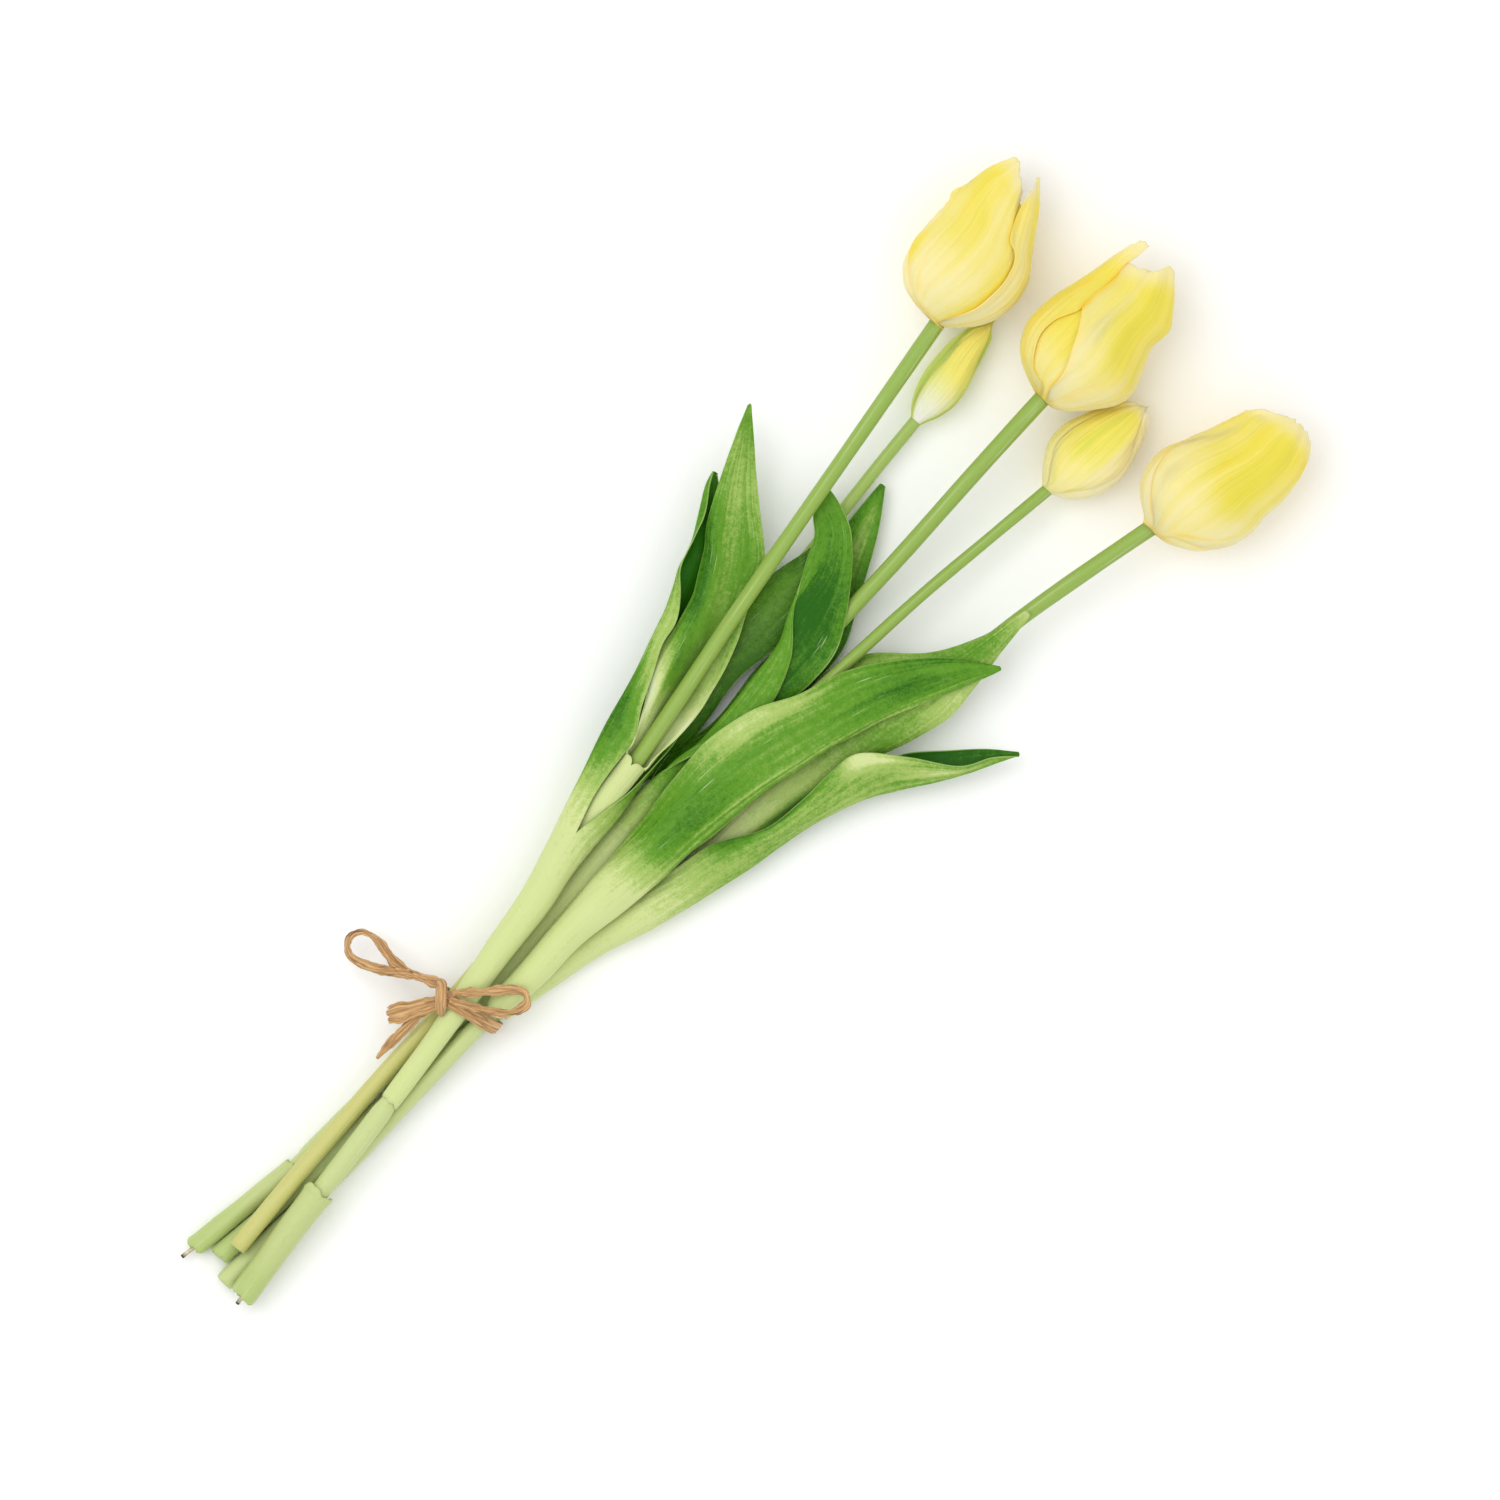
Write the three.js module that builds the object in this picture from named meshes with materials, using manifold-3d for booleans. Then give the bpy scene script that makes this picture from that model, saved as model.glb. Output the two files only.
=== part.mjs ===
// Bunch of five cut tulips with real-touch leaves, lying on its side and tied with raffia.
// Units are millimetres. +X runs along the bunch from the cut ends to the blooms, +Y is across
// the bunch, +Z is up. The origin is on the surface the bunch lies on, under the raffia band.
import * as THREE from "three";
import Module from "manifold-3d";
import { mergeVertices } from "three/addons/utils/BufferGeometryUtils.js";

const LEAF_THICKNESS = 0.8;
const PETAL_THICKNESS = 0.8;
const RAFFIA_THICKNESS = 0.8;
const LEAF_COLUMNS = 8;
const STEM_SIDES = 8;
const PETAL_COLUMNS = 6;
const WIRE_DIAMETER = 1.6;
const WIRE_HOLE_DIAMETER = 2.2;
const WIRE_HOLE_DEPTH = 9;

const wasm = await Module();
wasm.setup();

const group = new THREE.Group();
group.name = "tulip_bunch";

const COLOURS = {
  stem_green: 0xa3c06a,
  stem_tan: 0xc6c47c,
  leaf_green: 0x6aa038,
  sleeve_pale: 0xbfce88,
  petal_yellow: 0xf2e389,
  bud_yellow: 0xe9dd6f,
  raffia: 0xc29a62,
  wire_metal: 0x8f8a80,
};

function addNode(name, geometry, colour, roughness, metalness) {
  const material = new THREE.MeshStandardMaterial({
    color: colour,
    roughness: roughness,
    metalness: metalness === undefined ? 0 : metalness,
  });
  const mesh = new THREE.Mesh(geometry, material);
  mesh.name = name;
  group.add(mesh);
  return mesh;
}

// Small helpers.

function spline(a, b, c, d, t) {
  const t2 = t * t;
  const t3 = t2 * t;
  return 0.5 * (2 * b + (c - a) * t + (2 * a - 5 * b + 4 * c - d) * t2
    + (3 * b - a - 3 * c + d) * t3);
}

// Value of a list of equal-length number lists at a position between them.
function sampleList(list, position) {
  const last = list.length - 1;
  const p = Math.min(Math.max(position, 0), last);
  const i = Math.min(Math.floor(p), last - 1);
  const t = p - i;
  const before = list[Math.max(i - 1, 0)];
  const after = list[Math.min(i + 2, last)];
  return list[i].map((value, k) => spline(before[k], value, list[i + 1][k], after[k], t));
}

function subtract(a, b) {
  return [a[0] - b[0], a[1] - b[1], a[2] - b[2]];
}

function crossProduct(a, b) {
  return [a[1] * b[2] - a[2] * b[1], a[2] * b[0] - a[0] * b[2], a[0] * b[1] - a[1] * b[0]];
}

function unit(a) {
  const length = Math.hypot(a[0], a[1], a[2]) || 1;
  return [a[0] / length, a[1] / length, a[2] / length];
}

function makeGeometry(positions, triangles) {
  let volume = 0;
  for (const [i, j, k] of triangles) {
    const c = crossProduct(positions[j], positions[k]);
    volume += positions[i][0] * c[0] + positions[i][1] * c[1] + positions[i][2] * c[2];
  }
  const geometry = new THREE.BufferGeometry();
  geometry.setAttribute("position", new THREE.Float32BufferAttribute(positions.flat(), 3));
  geometry.setIndex(triangles.map((t) => (volume < 0 ? [t[0], t[2], t[1]] : t)).flat());
  geometry.computeVertexNormals();
  return geometry;
}

// Closed thin sheet about a grid of middle points. The first closedRows rows join round into a
// sleeve, the rows after them are open along both margins.
function sheet(rows, closedRows, thickness) {
  const rowCount = rows.length;
  const columns = rows[0].length - 1;
  const positions = [];
  const outerIndex = [];
  const innerIndex = [];
  for (let i = 0; i < rowCount; i += 1) {
    const closed = i < closedRows;
    outerIndex.push([]);
    innerIndex.push([]);
    for (let j = 0; j <= columns; j += 1) {
      if (closed && j === columns) {
        outerIndex[i].push(outerIndex[i][0]);
        innerIndex[i].push(innerIndex[i][0]);
        continue;
      }
      const left = closed && j === 0 ? columns - 1 : Math.max(j - 1, 0);
      const right = Math.min(j + 1, columns);
      const across = subtract(rows[i][right], rows[i][left]);
      const along = subtract(rows[Math.min(i + 1, rowCount - 1)][j], rows[Math.max(i - 1, 0)][j]);
      const normal = unit(crossProduct(across, along));
      const half = (Array.isArray(thickness) ? thickness[i] : thickness) / 2;
      const p = rows[i][j];
      outerIndex[i].push(positions.length);
      positions.push([p[0] + normal[0] * half, p[1] + normal[1] * half, p[2] + normal[2] * half]);
      innerIndex[i].push(positions.length);
      positions.push([p[0] - normal[0] * half, p[1] - normal[1] * half, p[2] - normal[2] * half]);
    }
  }
  const triangles = [];
  function quad(a, b, c, d) {
    triangles.push([a, b, c], [a, c, d]);
  }
  for (let i = 0; i + 1 < rowCount; i += 1) {
    for (let j = 0; j < columns; j += 1) {
      quad(outerIndex[i][j], outerIndex[i][j + 1], outerIndex[i + 1][j + 1], outerIndex[i + 1][j]);
      quad(innerIndex[i][j], innerIndex[i + 1][j], innerIndex[i + 1][j + 1], innerIndex[i][j + 1]);
    }
    if (i + 1 >= closedRows) {
      quad(outerIndex[i][0], outerIndex[i + 1][0], innerIndex[i + 1][0], innerIndex[i][0]);
      quad(outerIndex[i][columns], innerIndex[i][columns], innerIndex[i + 1][columns],
        outerIndex[i + 1][columns]);
    }
  }
  for (let j = 0; j < columns; j += 1) {
    const n = rowCount - 1;
    quad(outerIndex[0][j], innerIndex[0][j], innerIndex[0][j + 1], outerIndex[0][j + 1]);
    quad(outerIndex[n][j], outerIndex[n][j + 1], innerIndex[n][j + 1], innerIndex[n][j]);
  }
  const clean = triangles.filter((t) => t[0] !== t[1] && t[1] !== t[2] && t[0] !== t[2]);
  return makeGeometry(positions, clean);
}

// Round bar along stations [x, y, z, radius], with flat ends.
function bar(stations, rowsPerSpan, sides) {
  const positions = [];
  const rings = [];
  const total = (stations.length - 1) * rowsPerSpan;
  for (let i = 0; i <= total; i += 1) {
    const here = sampleList(stations, i / rowsPerSpan);
    const ahead = sampleList(stations, (i + 0.5) / rowsPerSpan);
    const behind = sampleList(stations, (i - 0.5) / rowsPerSpan);
    const direction = unit(subtract(ahead, behind));
    const side = unit(crossProduct([0, 0, 1], direction));
    const up = crossProduct(direction, side);
    const ring = [];
    for (let j = 0; j < sides; j += 1) {
      const angle = (2 * Math.PI * j) / sides;
      const c = Math.cos(angle) * here[3];
      const s = Math.sin(angle) * here[3];
      ring.push(positions.length);
      positions.push([0, 1, 2].map((k) => here[k] + side[k] * c + up[k] * s));
    }
    rings.push(ring);
  }
  const triangles = [];
  for (let i = 0; i < total; i += 1) {
    for (let j = 0; j < sides; j += 1) {
      const k = (j + 1) % sides;
      triangles.push([rings[i][j], rings[i][k], rings[i + 1][k]]);
      triangles.push([rings[i][j], rings[i + 1][k], rings[i + 1][j]]);
    }
  }
  for (let j = 1; j + 1 < sides; j += 1) {
    triangles.push([rings[0][0], rings[0][j + 1], rings[0][j]]);
    triangles.push([rings[total][0], rings[total][j], rings[total][j + 1]]);
  }
  return makeGeometry(positions, triangles);
}

function toManifold(geometry) {
  const bare = geometry.clone();
  bare.deleteAttribute("normal");
  if (bare.getAttribute("uv")) {
    bare.deleteAttribute("uv");
  }
  const merged = mergeVertices(bare, 1e-4);
  return new wasm.Manifold(new wasm.Mesh({
    numProp: 3,
    vertProperties: new Float32Array(merged.getAttribute("position").array),
    triVerts: new Uint32Array(merged.getIndex().array),
  }));
}

function fromManifold(solid) {
  const mesh = solid.getMesh();
  const positions = [];
  for (let i = 0; i < mesh.vertProperties.length; i += mesh.numProp) {
    positions.push([mesh.vertProperties[i], mesh.vertProperties[i + 1],
      mesh.vertProperties[i + 2]]);
  }
  const triangles = [];
  for (let i = 0; i < mesh.triVerts.length; i += 3) {
    triangles.push([mesh.triVerts[i], mesh.triVerts[i + 1], mesh.triVerts[i + 2]]);
  }
  return makeGeometry(positions, triangles);
}

// Joins solids into one and fills any hollow that the join would seal inside.
function joined(geometries) {
  let solid = toManifold(geometries[0]);
  for (const geometry of geometries.slice(1)) {
    solid = solid.add(toManifold(geometry));
  }
  let filled = null;
  for (const piece of solid.decompose()) {
    if (piece.volume() > 0) {
      filled = filled ? filled.add(piece) : piece;
    }
  }
  return fromManifold(filled);
}

// Leaves.

// One row of a leaf. A ring is {ring: [x, y, z, radius], seam, turn}: a closed sleeve with its
// seam at the given angle (0 is +Y, 90 is up). A list of five points is an open blade, from the
// left or upper margin over the middle to the other margin.
function leafRow(station, columns) {
  const row = [];
  for (let j = 0; j <= columns; j += 1) {
    if (station.ring) {
      const [x, y, z, radius] = station.ring;
      const angle = ((station.seam + (station.turn * 360 * j) / columns) * Math.PI) / 180;
      row.push([x, y + Math.cos(angle) * radius, z + Math.sin(angle) * radius]);
    } else {
      row.push(sampleList(station.open, (4 * j) / columns));
    }
  }
  return row;
}

function leaf(stations, seam, turn, rowsPerSpan, columns, thickness) {
  const keyRows = stations.map((s) => (
    s.length === 4 ? leafRow({ ring: s, seam: seam, turn: turn }, columns)
      : leafRow({ open: s }, columns)));
  let closedStations = 0;
  while (closedStations < stations.length && stations[closedStations].length === 4) {
    closedStations += 1;
  }
  const rows = [];
  const total = (stations.length - 1) * rowsPerSpan;
  for (let i = 0; i <= total; i += 1) {
    const row = [];
    for (let j = 0; j <= columns; j += 1) {
      row.push(sampleList(keyRows.map((r) => r[j]), i / rowsPerSpan));
    }
    rows.push(row);
  }
  const closedRows = closedStations === 0 ? 0 : (closedStations - 1) * rowsPerSpan + 1;
  for (let i = 0; i < closedRows; i += 1) {
    const middle = rows[i][0].map((v, k) => (v + rows[i][columns][k]) / 2);
    rows[i][0] = middle;
    rows[i][columns] = middle;
  }
  return sheet(rows, closedRows, thickness);
}

// Outer leaf of stem 1: long sleeve from below the tie, open blade folded to the left.
const LEAF_1 = [
  [-42, 0.1, 15.3, 3.75], [-20, 2.6, 15.7, 3.75], [0, 5.2, 15.9, 4.0], [20, 7.9, 16.0, 4.5],
  [40, 10.2, 16.0, 5.3], [54, 13.3, 15.8, 6.0], [66, 15.6, 16, 7.3],
  [[80, 19.8, 22.2], [80, 27.0, 18.4], [80, 19.5, 9.6], [80, 9.0, 15.2], [80, 12.1, 21.8]],
  [[94, 21.8, 22.0], [94, 31.2, 18], [94, 22.0, 10.2], [94, 12.2, 11.2], [94, 11.2, 15.6]],
  [[103, 23.3, 21.8], [103, 33.6, 18.1], [103, 23.4, 10.6], [103, 13.6, 11.4],
    [103, 11.4, 13.4]],
  [[112, 28.2, 22.2], [112, 35.8, 18.2], [112, 25, 11], [112, 15.5, 11.6], [112, 12.2, 12.6]],
  [[130, 36.6, 21.8], [130, 40.8, 18], [130, 31, 12.4], [130, 22, 12], [130, 16, 12.5]],
  [[140, 39.2, 21.6], [140, 44.0, 18], [140, 35, 12.9], [140, 26.4, 12.4], [140, 20.4, 12.8]],
  [[148, 46, 21.2], [148, 47.4, 18], [148, 38, 13.2], [148, 30, 12.7], [148, 24, 13]],
  [[160, 52.3, 20], [160, 50.5, 16.5], [160, 43.5, 14], [160, 37, 13.4], [160, 31, 13.6]],
  [[171, 55.5, 19.8], [171, 57.4, 17.6], [171, 52, 14.8], [171, 47, 14.2], [171, 42, 14.6]],
  [[180, 61.3, 18.6], [180, 62.6, 17], [180, 60, 15.3], [180, 57.5, 14.8], [180, 55, 15]],
  [[185.4, 64.4, 16.9], [185.6, 64.2, 16.5], [185.8, 63.8, 16.2], [185.8, 63.3, 16.1],
    [185.6, 62.8, 16.2]],
];

// Inner leaf of stem 1: short sleeve with a collar, blade under the stem, tip bent to the left.
const LEAF_2 = [
  [62, 13.0, 16.3, 3.7], [78, 15.3, 16.8, 3.8], [95, 17.1, 17.1, 3.8],
  [[102, 22.4, 21.2], [102, 22.2, 17.4], [102, 17.8, 12.8], [102, 14, 15.2], [102, 13.0, 18.8]],
  [[113, 28.2, 20.4], [113, 25.8, 19.6], [113, 20.6, 13.4], [113, 15.5, 14.8], [113, 12.4, 17.3]],
  [[124, 35.2, 19.6], [124, 29.2, 20.6], [124, 22.6, 14.1], [124, 16.4, 15], [124, 12.9, 17.2]],
  [[132, 37.4, 19.4], [132, 31.4, 21.0], [132, 24.4, 15.1], [132, 18.2, 15.2], [132, 14.6, 17.1]],
  [[140, 38.4, 19.2], [140, 33.6, 20.8], [140, 26.4, 15.6], [140, 20, 15.3], [140, 16.6, 17.0]],
  [[150, 41.0, 18.8], [150, 36.4, 20.6], [150, 29.6, 16.3], [150, 24, 15.7], [150, 20.0, 16.6]],
  [[157, 44.8, 18.6], [157, 39.8, 20.5], [157, 33.0, 16.9], [157, 27.4, 15.9],
    [157, 23.4, 16.2]],
  [[165, 49.2, 18.4], [165, 44.6, 20.4], [165, 37.6, 17.4], [165, 31.2, 16.2], [165, 27, 16.1]],
  [[171.6, 54, 18.4], [172, 50.2, 20.2], [173.5, 43.5, 18.0], [174.5, 36.0, 16.7],
    [175, 31.0, 16.2]],
  [[186, 61.2, 18.8], [186.5, 59.0, 19.8], [187, 54.4, 18.8], [187.3, 49.8, 18.0],
    [187.5, 45.3, 18]],
  [[198, 66.5, 18.8], [198.8, 65.2, 19.0], [199.5, 63.4, 18.4], [200, 61.4, 18],
    [200.3, 59.6, 18.1]],
  [[209.4, 71.1, 17.7], [209.9, 71.0, 17.6], [210.4, 70.8, 17.5], [210.3, 70.3, 17.5],
    [209.9, 69.7, 17.5]],
];

// Leaf of stem 3 with its left half folded over, tip under stem 1.
const LEAF_3 = [
  [8, 1.5, 4.6, 3.5], [22, 1.8, 4.9, 3.8], [40, 2.6, 5.3, 4.2], [60, 3.6, 6.0, 4.7],
  [75, 4.5, 6.8, 5.0],
  [[84, 9.4, 3.4], [84, 9.4, 9.4], [84, 4.6, 12.9], [84, -0.2, 9.6], [84, -0.9, 3.8]],
  [[95, 9.6, 9.8], [95, 8.0, 12.4], [95, 4.6, 13.1], [95, 1.3, 11.8], [95, -0.8, 8.4]],
  [[108, 6.2, 16], [108, 7.4, 14.2], [108, 5.4, 12.9], [108, 1.2, 12.3], [108, -3, 10.8]],
  [[124, -1, 16.6], [124, 3.6, 16.3], [124, 6.0, 14.4], [124, 1, 13.3], [124, -5, 12.6]],
  [[140, -3, 17.2], [140, 4, 17.2], [140, 7, 15.2], [140, 1, 14.3], [140, -5.5, 13.9]],
  [[157, 2.6, 18], [157, 7, 17.8], [157, 8.7, 16.2], [157, 1, 15.4], [157, -7.6, 15.6]],
  [[170, 13.2, 17.8], [170, 14.2, 17.2], [170, 13, 16.4], [171, 3, 16], [172, -5.6, 16]],
  [[183, 20.4, 17.2], [184.5, 18.5, 16.9], [186.5, 14, 16.5], [188.3, 9.5, 16.5],
    [189.5, 5.5, 16.8]],
  [[192.5, 25, 16.8], [195, 23.2, 16.5], [197.6, 20.6, 16.3], [200, 18.3, 16.3],
    [201.5, 16.5, 16.5]],
  [[197.2, 29.8, 16.2], [199.6, 29.3, 16], [202, 28.3, 15.9], [204.5, 27.2, 16],
    [206.2, 26, 16.1]],
  [[203.6, 34.3, 15.5], [204.7, 34.3, 15.4], [205.9, 34, 15.4], [206.9, 33.3, 15.4],
    [207.7, 32.4, 15.5]],
];

// Inner leaf of stem 3, lowest of all, under stems 2 and 3.
const LEAF_4 = [
  [64, 3.8, 6.2, 3.3], [79, 4.4, 6.9, 3.1],
  [[88, 7.7, 9.4], [88, 8.0, 5.4], [88, 4.5, 3.2], [88, 0.9, 5.2], [88, 1.1, 9.2]],
  [[98, 8.2, 7.2], [98, 7.6, 4.4], [98, 4.4, 3.2], [98, 1.2, 4.2], [98, 0.6, 6.6]],
  [[110, 10.0, 6.4], [110, 7.5, 4.2], [110, 3.8, 3.3], [110, 0, 3.6], [110, -3, 5]],
  [[125, 7.5, 5], [125, 4.5, 3.9], [125, 1, 3.5], [125, -3, 3.6], [125, -6.5, 4.5]],
  [[145, 9.1, 5.6], [145, 5, 4.5], [145, 0.5, 4.1], [145, -3.6, 4.3], [145, -7.6, 5.2]],
  [[160, 8.8, 6.4], [160, 5, 5.3], [160, 0.5, 4.9], [160, -4, 5.1], [160, -8.6, 6]],
  [[172, 11.5, 7.2], [172.5, 7, 6.1], [173, 2.5, 5.6], [173, -2.5, 5.6], [173, -7.3, 6.2]],
  [[186, 15.8, 7.6], [186.5, 12, 6.7], [187, 8, 6.3], [187.3, 3.8, 6.2], [187.5, -0.3, 6.7]],
  [[202, 19.8, 7.2], [202.5, 17.2, 6.5], [203, 14.2, 6.2], [203.3, 11, 6.2],
    [203.5, 7.8, 6.6]],
  [[213, 20.7, 6.6], [213.2, 19.3, 6.2], [213.4, 17.6, 6], [213.5, 15.7, 6.1],
    [213.6, 13.9, 6.4]],
  [[220.6, 21, 6.2], [220.8, 20.6, 6.1], [221, 20.1, 6], [221, 19.5, 6], [220.8, 18.9, 6.2]],
];

// Leaf of stem 2, arched over its stem, between leaf 4 and leaf 3.
const LEAF_5 = [
  [80, 13.7, 5.9, 3.0], [89, 14.4, 5.9, 3.0],
  [[97, 18.5, 3.4], [97, 18.3, 7.2], [97, 15, 9.3], [97, 11.8, 7.2], [97, 11.6, 3.6]],
  [[105, 19.6, 4.6], [105, 18.8, 7.8], [105, 15.6, 9.4], [105, 12.9, 8], [105, 12.0, 5.4]],
  [[120, 23, 4.6], [120, 21.8, 8.4], [120, 17, 10], [120, 12.6, 9.6], [120, 9.6, 8.4]],
  [[140, 26, 5], [140, 24.4, 9], [140, 19.5, 10.8], [140, 15, 10.6], [140, 11.2, 9.8]],
  [[157, 27.4, 7], [157, 25, 10.2], [157, 19.5, 12], [157, 13.8, 11.6], [157, 9.0, 10.8]],
  [[173, 26.8, 8.6], [173, 24, 10.8], [173, 18.5, 12.2], [173, 13.5, 11.8], [173, 9.5, 11]],
  [[187, 23.7, 10.4], [187, 21.9, 10.9], [187, 18.8, 11.4], [187, 15.8, 11.2],
    [187, 13, 10.8]],
  [[199, 22.6, 10.9], [199.3, 22.2, 10.9], [199.6, 21.6, 10.9], [199.4, 21, 10.9],
    [199, 20.6, 10.9]],
];

// Broad front leaf of stem 4, arched over the bunch with its ridge to the right.
const LEAF_6 = [
  [7, -5.1, 12.9, 3.8], [22, -5.7, 14.5, 4.7], [40, -5.3, 14.9, 5.4],
  [[60, 1.2, 13], [60, 0, 18.2], [60, -7, 21], [60, -13.6, 17.5], [60, -12.6, 13.6]],
  [[80, 2, 15], [80, -3, 19.3], [80, -10.2, 20.8], [80, -15.4, 18.4], [80, -16, 15]],
  [[100, 4.2, 16.6], [100, -4, 19.8], [100, -12.6, 20.6], [100, -17, 18.6],
    [100, -18.2, 16.4]],
  [[118, 4.6, 18.6], [118, -5.5, 20.8], [118, -16, 20.8], [118, -19.5, 19.6],
    [118, -20.6, 18]],
  [[135, 1, 19.2], [135, -9, 21.2], [135, -20.5, 21.2], [135, -23.5, 20.2],
    [135, -24.8, 18.8]],
  [[150, -7, 18.8], [150, -15, 20.9], [150, -25, 21], [150, -27.6, 20.2],
    [150, -28.9, 19.1]],
  [[166, -12.8, 18.2], [167, -21, 20], [168.5, -31.5, 20.4], [168.7, -33.9, 19.8],
    [168.5, -35.6, 19]],
  [[181, -23.3, 18], [182, -30, 19.2], [183.5, -38.3, 19.4], [184, -41, 19],
    [184, -43, 18.4]],
  [[192.5, -34.6, 18.4], [193.3, -39, 19.4], [194.5, -44, 19.4], [194.8, -46, 19],
    [195, -48, 18.4]],
  [[203, -49.6, 18.6], [203, -50, 18.6], [202.9, -50.4, 18.5], [202.6, -50.7, 18.4],
    [202.1, -50.9, 18.3]],
];

// Inner leaf of stem 5, arched under leaf 6, its tip clasping the stem.
const LEAF_7 = [
  [58, -17.0, 6.4, 3.3], [80, -20.4, 6.6, 3.3],
  [[88, -17.6, 4.2], [88, -18, 8.6], [88, -21.9, 10.4], [88, -25.8, 8.2], [88, -26, 4.2]],
  [[98, -17.7, 6], [98, -18.8, 9.2], [98, -23.2, 10.6], [98, -27.4, 8.8], [98, -28, 5.8]],
  [[115, -12.5, 7], [115, -17.6, 11], [115, -25, 12.4], [115, -31, 10.6], [115, -34, 7.4]],
  [[135, -9.4, 7], [135, -18.4, 11.8], [135, -28, 13.8], [135, -35, 12.2], [135, -38.5, 9]],
  [[152, -8.6, 6.8], [152, -19, 12.4], [152, -31, 14.8], [152, -37.4, 13.6],
    [152, -40.6, 11.6]],
  [[165, -9.6, 7.2], [165, -20, 12.6], [165, -33, 15.6], [165, -41, 14.6], [165, -45.3, 13]],
  [[177, -15.5, 9], [178, -26, 14], [179, -37, 16.5], [179, -44, 15.6], [179, -49, 14]],
  [[191, -30, 13.6], [191.5, -35, 15.8], [192, -40, 16.6], [192, -44.5, 16],
    [192, -48.5, 14.8]],
  [[206, -38.4, 16.8], [206, -39.8, 17.8], [206, -42.2, 18.2], [206, -44.8, 17.6],
    [206, -47, 16.2]],
  [[222.3, -43.2, 19.3], [222.6, -43.8, 19.4], [222.8, -44.3, 19.4], [222.7, -45, 19.3],
    [222.3, -45.7, 19.1]],
];

// Outer leaf of stem 5, folded to the right with its dark inner side open to the left.
const LEAF_8 = [
  [10, -7.4, 4.6, 3.5], [25, -9.9, 4.9, 4.1], [42, -13.3, 5.4, 4.7], [60, -18.4, 7.0, 6.1],
  [[80, -16.6, 12.4], [80, -24.4, 13.4], [80, -30.2, 8], [80, -25, 1.9], [80, -17.4, 1.6]],
  [[95, -20.3, 13.2], [95, -28, 14.2], [95, -34, 9], [95, -30, 3], [95, -21.5, 1.8]],
  [[110, -29.5, 14.6], [110, -33.5, 13.4], [110, -37, 8.6], [110, -33.5, 3.6],
    [110, -26, 2.2]],
  [[125, -31.8, 16], [125, -37.5, 14.2], [125, -41.2, 9.2], [125, -38.5, 4.6],
    [125, -31, 3.2]],
  [[140, -32.7, 17.2], [140, -41, 15.2], [140, -46.8, 10], [140, -44.4, 5.6],
    [140, -37, 4.2]],
  [[150, -35.3, 17.6], [150, -45, 15.8], [150, -53, 10.6], [150, -50, 7], [150, -43, 5.8]],
  [[160, -48, 17.2], [160, -54.5, 15], [160, -60, 11.2], [160, -54, 8], [160, -46.3, 8]],
  [[169, -62.5, 15.6], [169.5, -64, 14], [170, -66, 11.8], [171, -60.8, 9.8],
    [171.5, -57, 9.8]],
  [[179, -68.4, 13.6], [179, -69.4, 12.8], [179, -70.8, 11.8], [179.5, -68, 10.8],
    [180, -65.4, 10.8]],
  [[185.4, -75, 11.6], [185.8, -74.9, 11.4], [186.2, -74.6, 11.2], [186.4, -74.1, 11],
    [186.3, -73.6, 10.9]],
];

// Seam angle and turning sense of each leaf's sleeve.
const LEAVES = [
  ["leaf_1", LEAF_1, 90, -1],
  ["leaf_2", LEAF_2, 90, -1],
  ["leaf_3", LEAF_3, 270, 1],
  ["leaf_4", LEAF_4, 90, -1],
  ["leaf_5", LEAF_5, 270, 1],
  ["leaf_6", LEAF_6, 270, 1],
  ["leaf_7", LEAF_7, 270, 1],
  ["leaf_8", LEAF_8, 0, 1],
];
for (const [name, stations, seam, turn] of LEAVES) {
  addNode(name, leaf(stations, seam, turn, 1, LEAF_COLUMNS, LEAF_THICKNESS),
    COLOURS.leaf_green, 0.45);
}

// Stems, end sleeves and wires.

// Stations are x, y, z, radius.
const STEM_1 = [
  [-122.6, -8.3, 9.0, 3.2], [-110, -6.6, 10.6, 3.2], [-100, -5.4, 11.6, 3.2],
  [-79, -3.4, 13.0, 3.3], [-62, -2.0, 14.2, 3.5], [-47, -0.5, 15.1, 3.5],
  [-40, 0.3, 15.4, 2.75], [-20, 2.6, 15.7, 2.75], [0, 5.2, 15.9, 2.75], [20, 7.9, 16, 2.75],
  [40, 10.2, 16, 2.75], [66, 13.4, 16.3, 2.7], [95, 16.9, 17, 2.65], [112, 19.4, 17.7, 2.65],
  [130, 22.3, 18.2, 2.65], [150, 25.6, 18.9, 2.65], [175, 29.4, 19.6, 2.65],
  [200, 33, 20.4, 2.6], [235, 38, 21, 2.65], [271.6, 43.3, 20.6, 2.75],
];
const STEM_2 = [
  [-112.4, 4.0, 11.0, 3.0], [-80, 5.9, 10.8, 3.0], [-60, 6.7, 10.2, 3.0], [-40, 7.5, 9.6, 3.0],
  [-20, 7.9, 9.0, 2.9], [0, 8.3, 8.6, 2.7], [20, 9.4, 7.6, 2.5], [40, 11.0, 6.8, 2.4],
  [66, 12.7, 5.9, 2.3], [85, 14.1, 5.9, 2.2], [98, 15.0, 5.9, 2.2], [130, 17.4, 6.0, 2.2],
  [160, 20, 6.5, 2.2], [190, 22.6, 7, 2.1], [207, 24, 7.3, 2.1], [225, 25.4, 7.7, 2.1],
  [244.0, 26.6, 8.1, 2.1],
];
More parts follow.
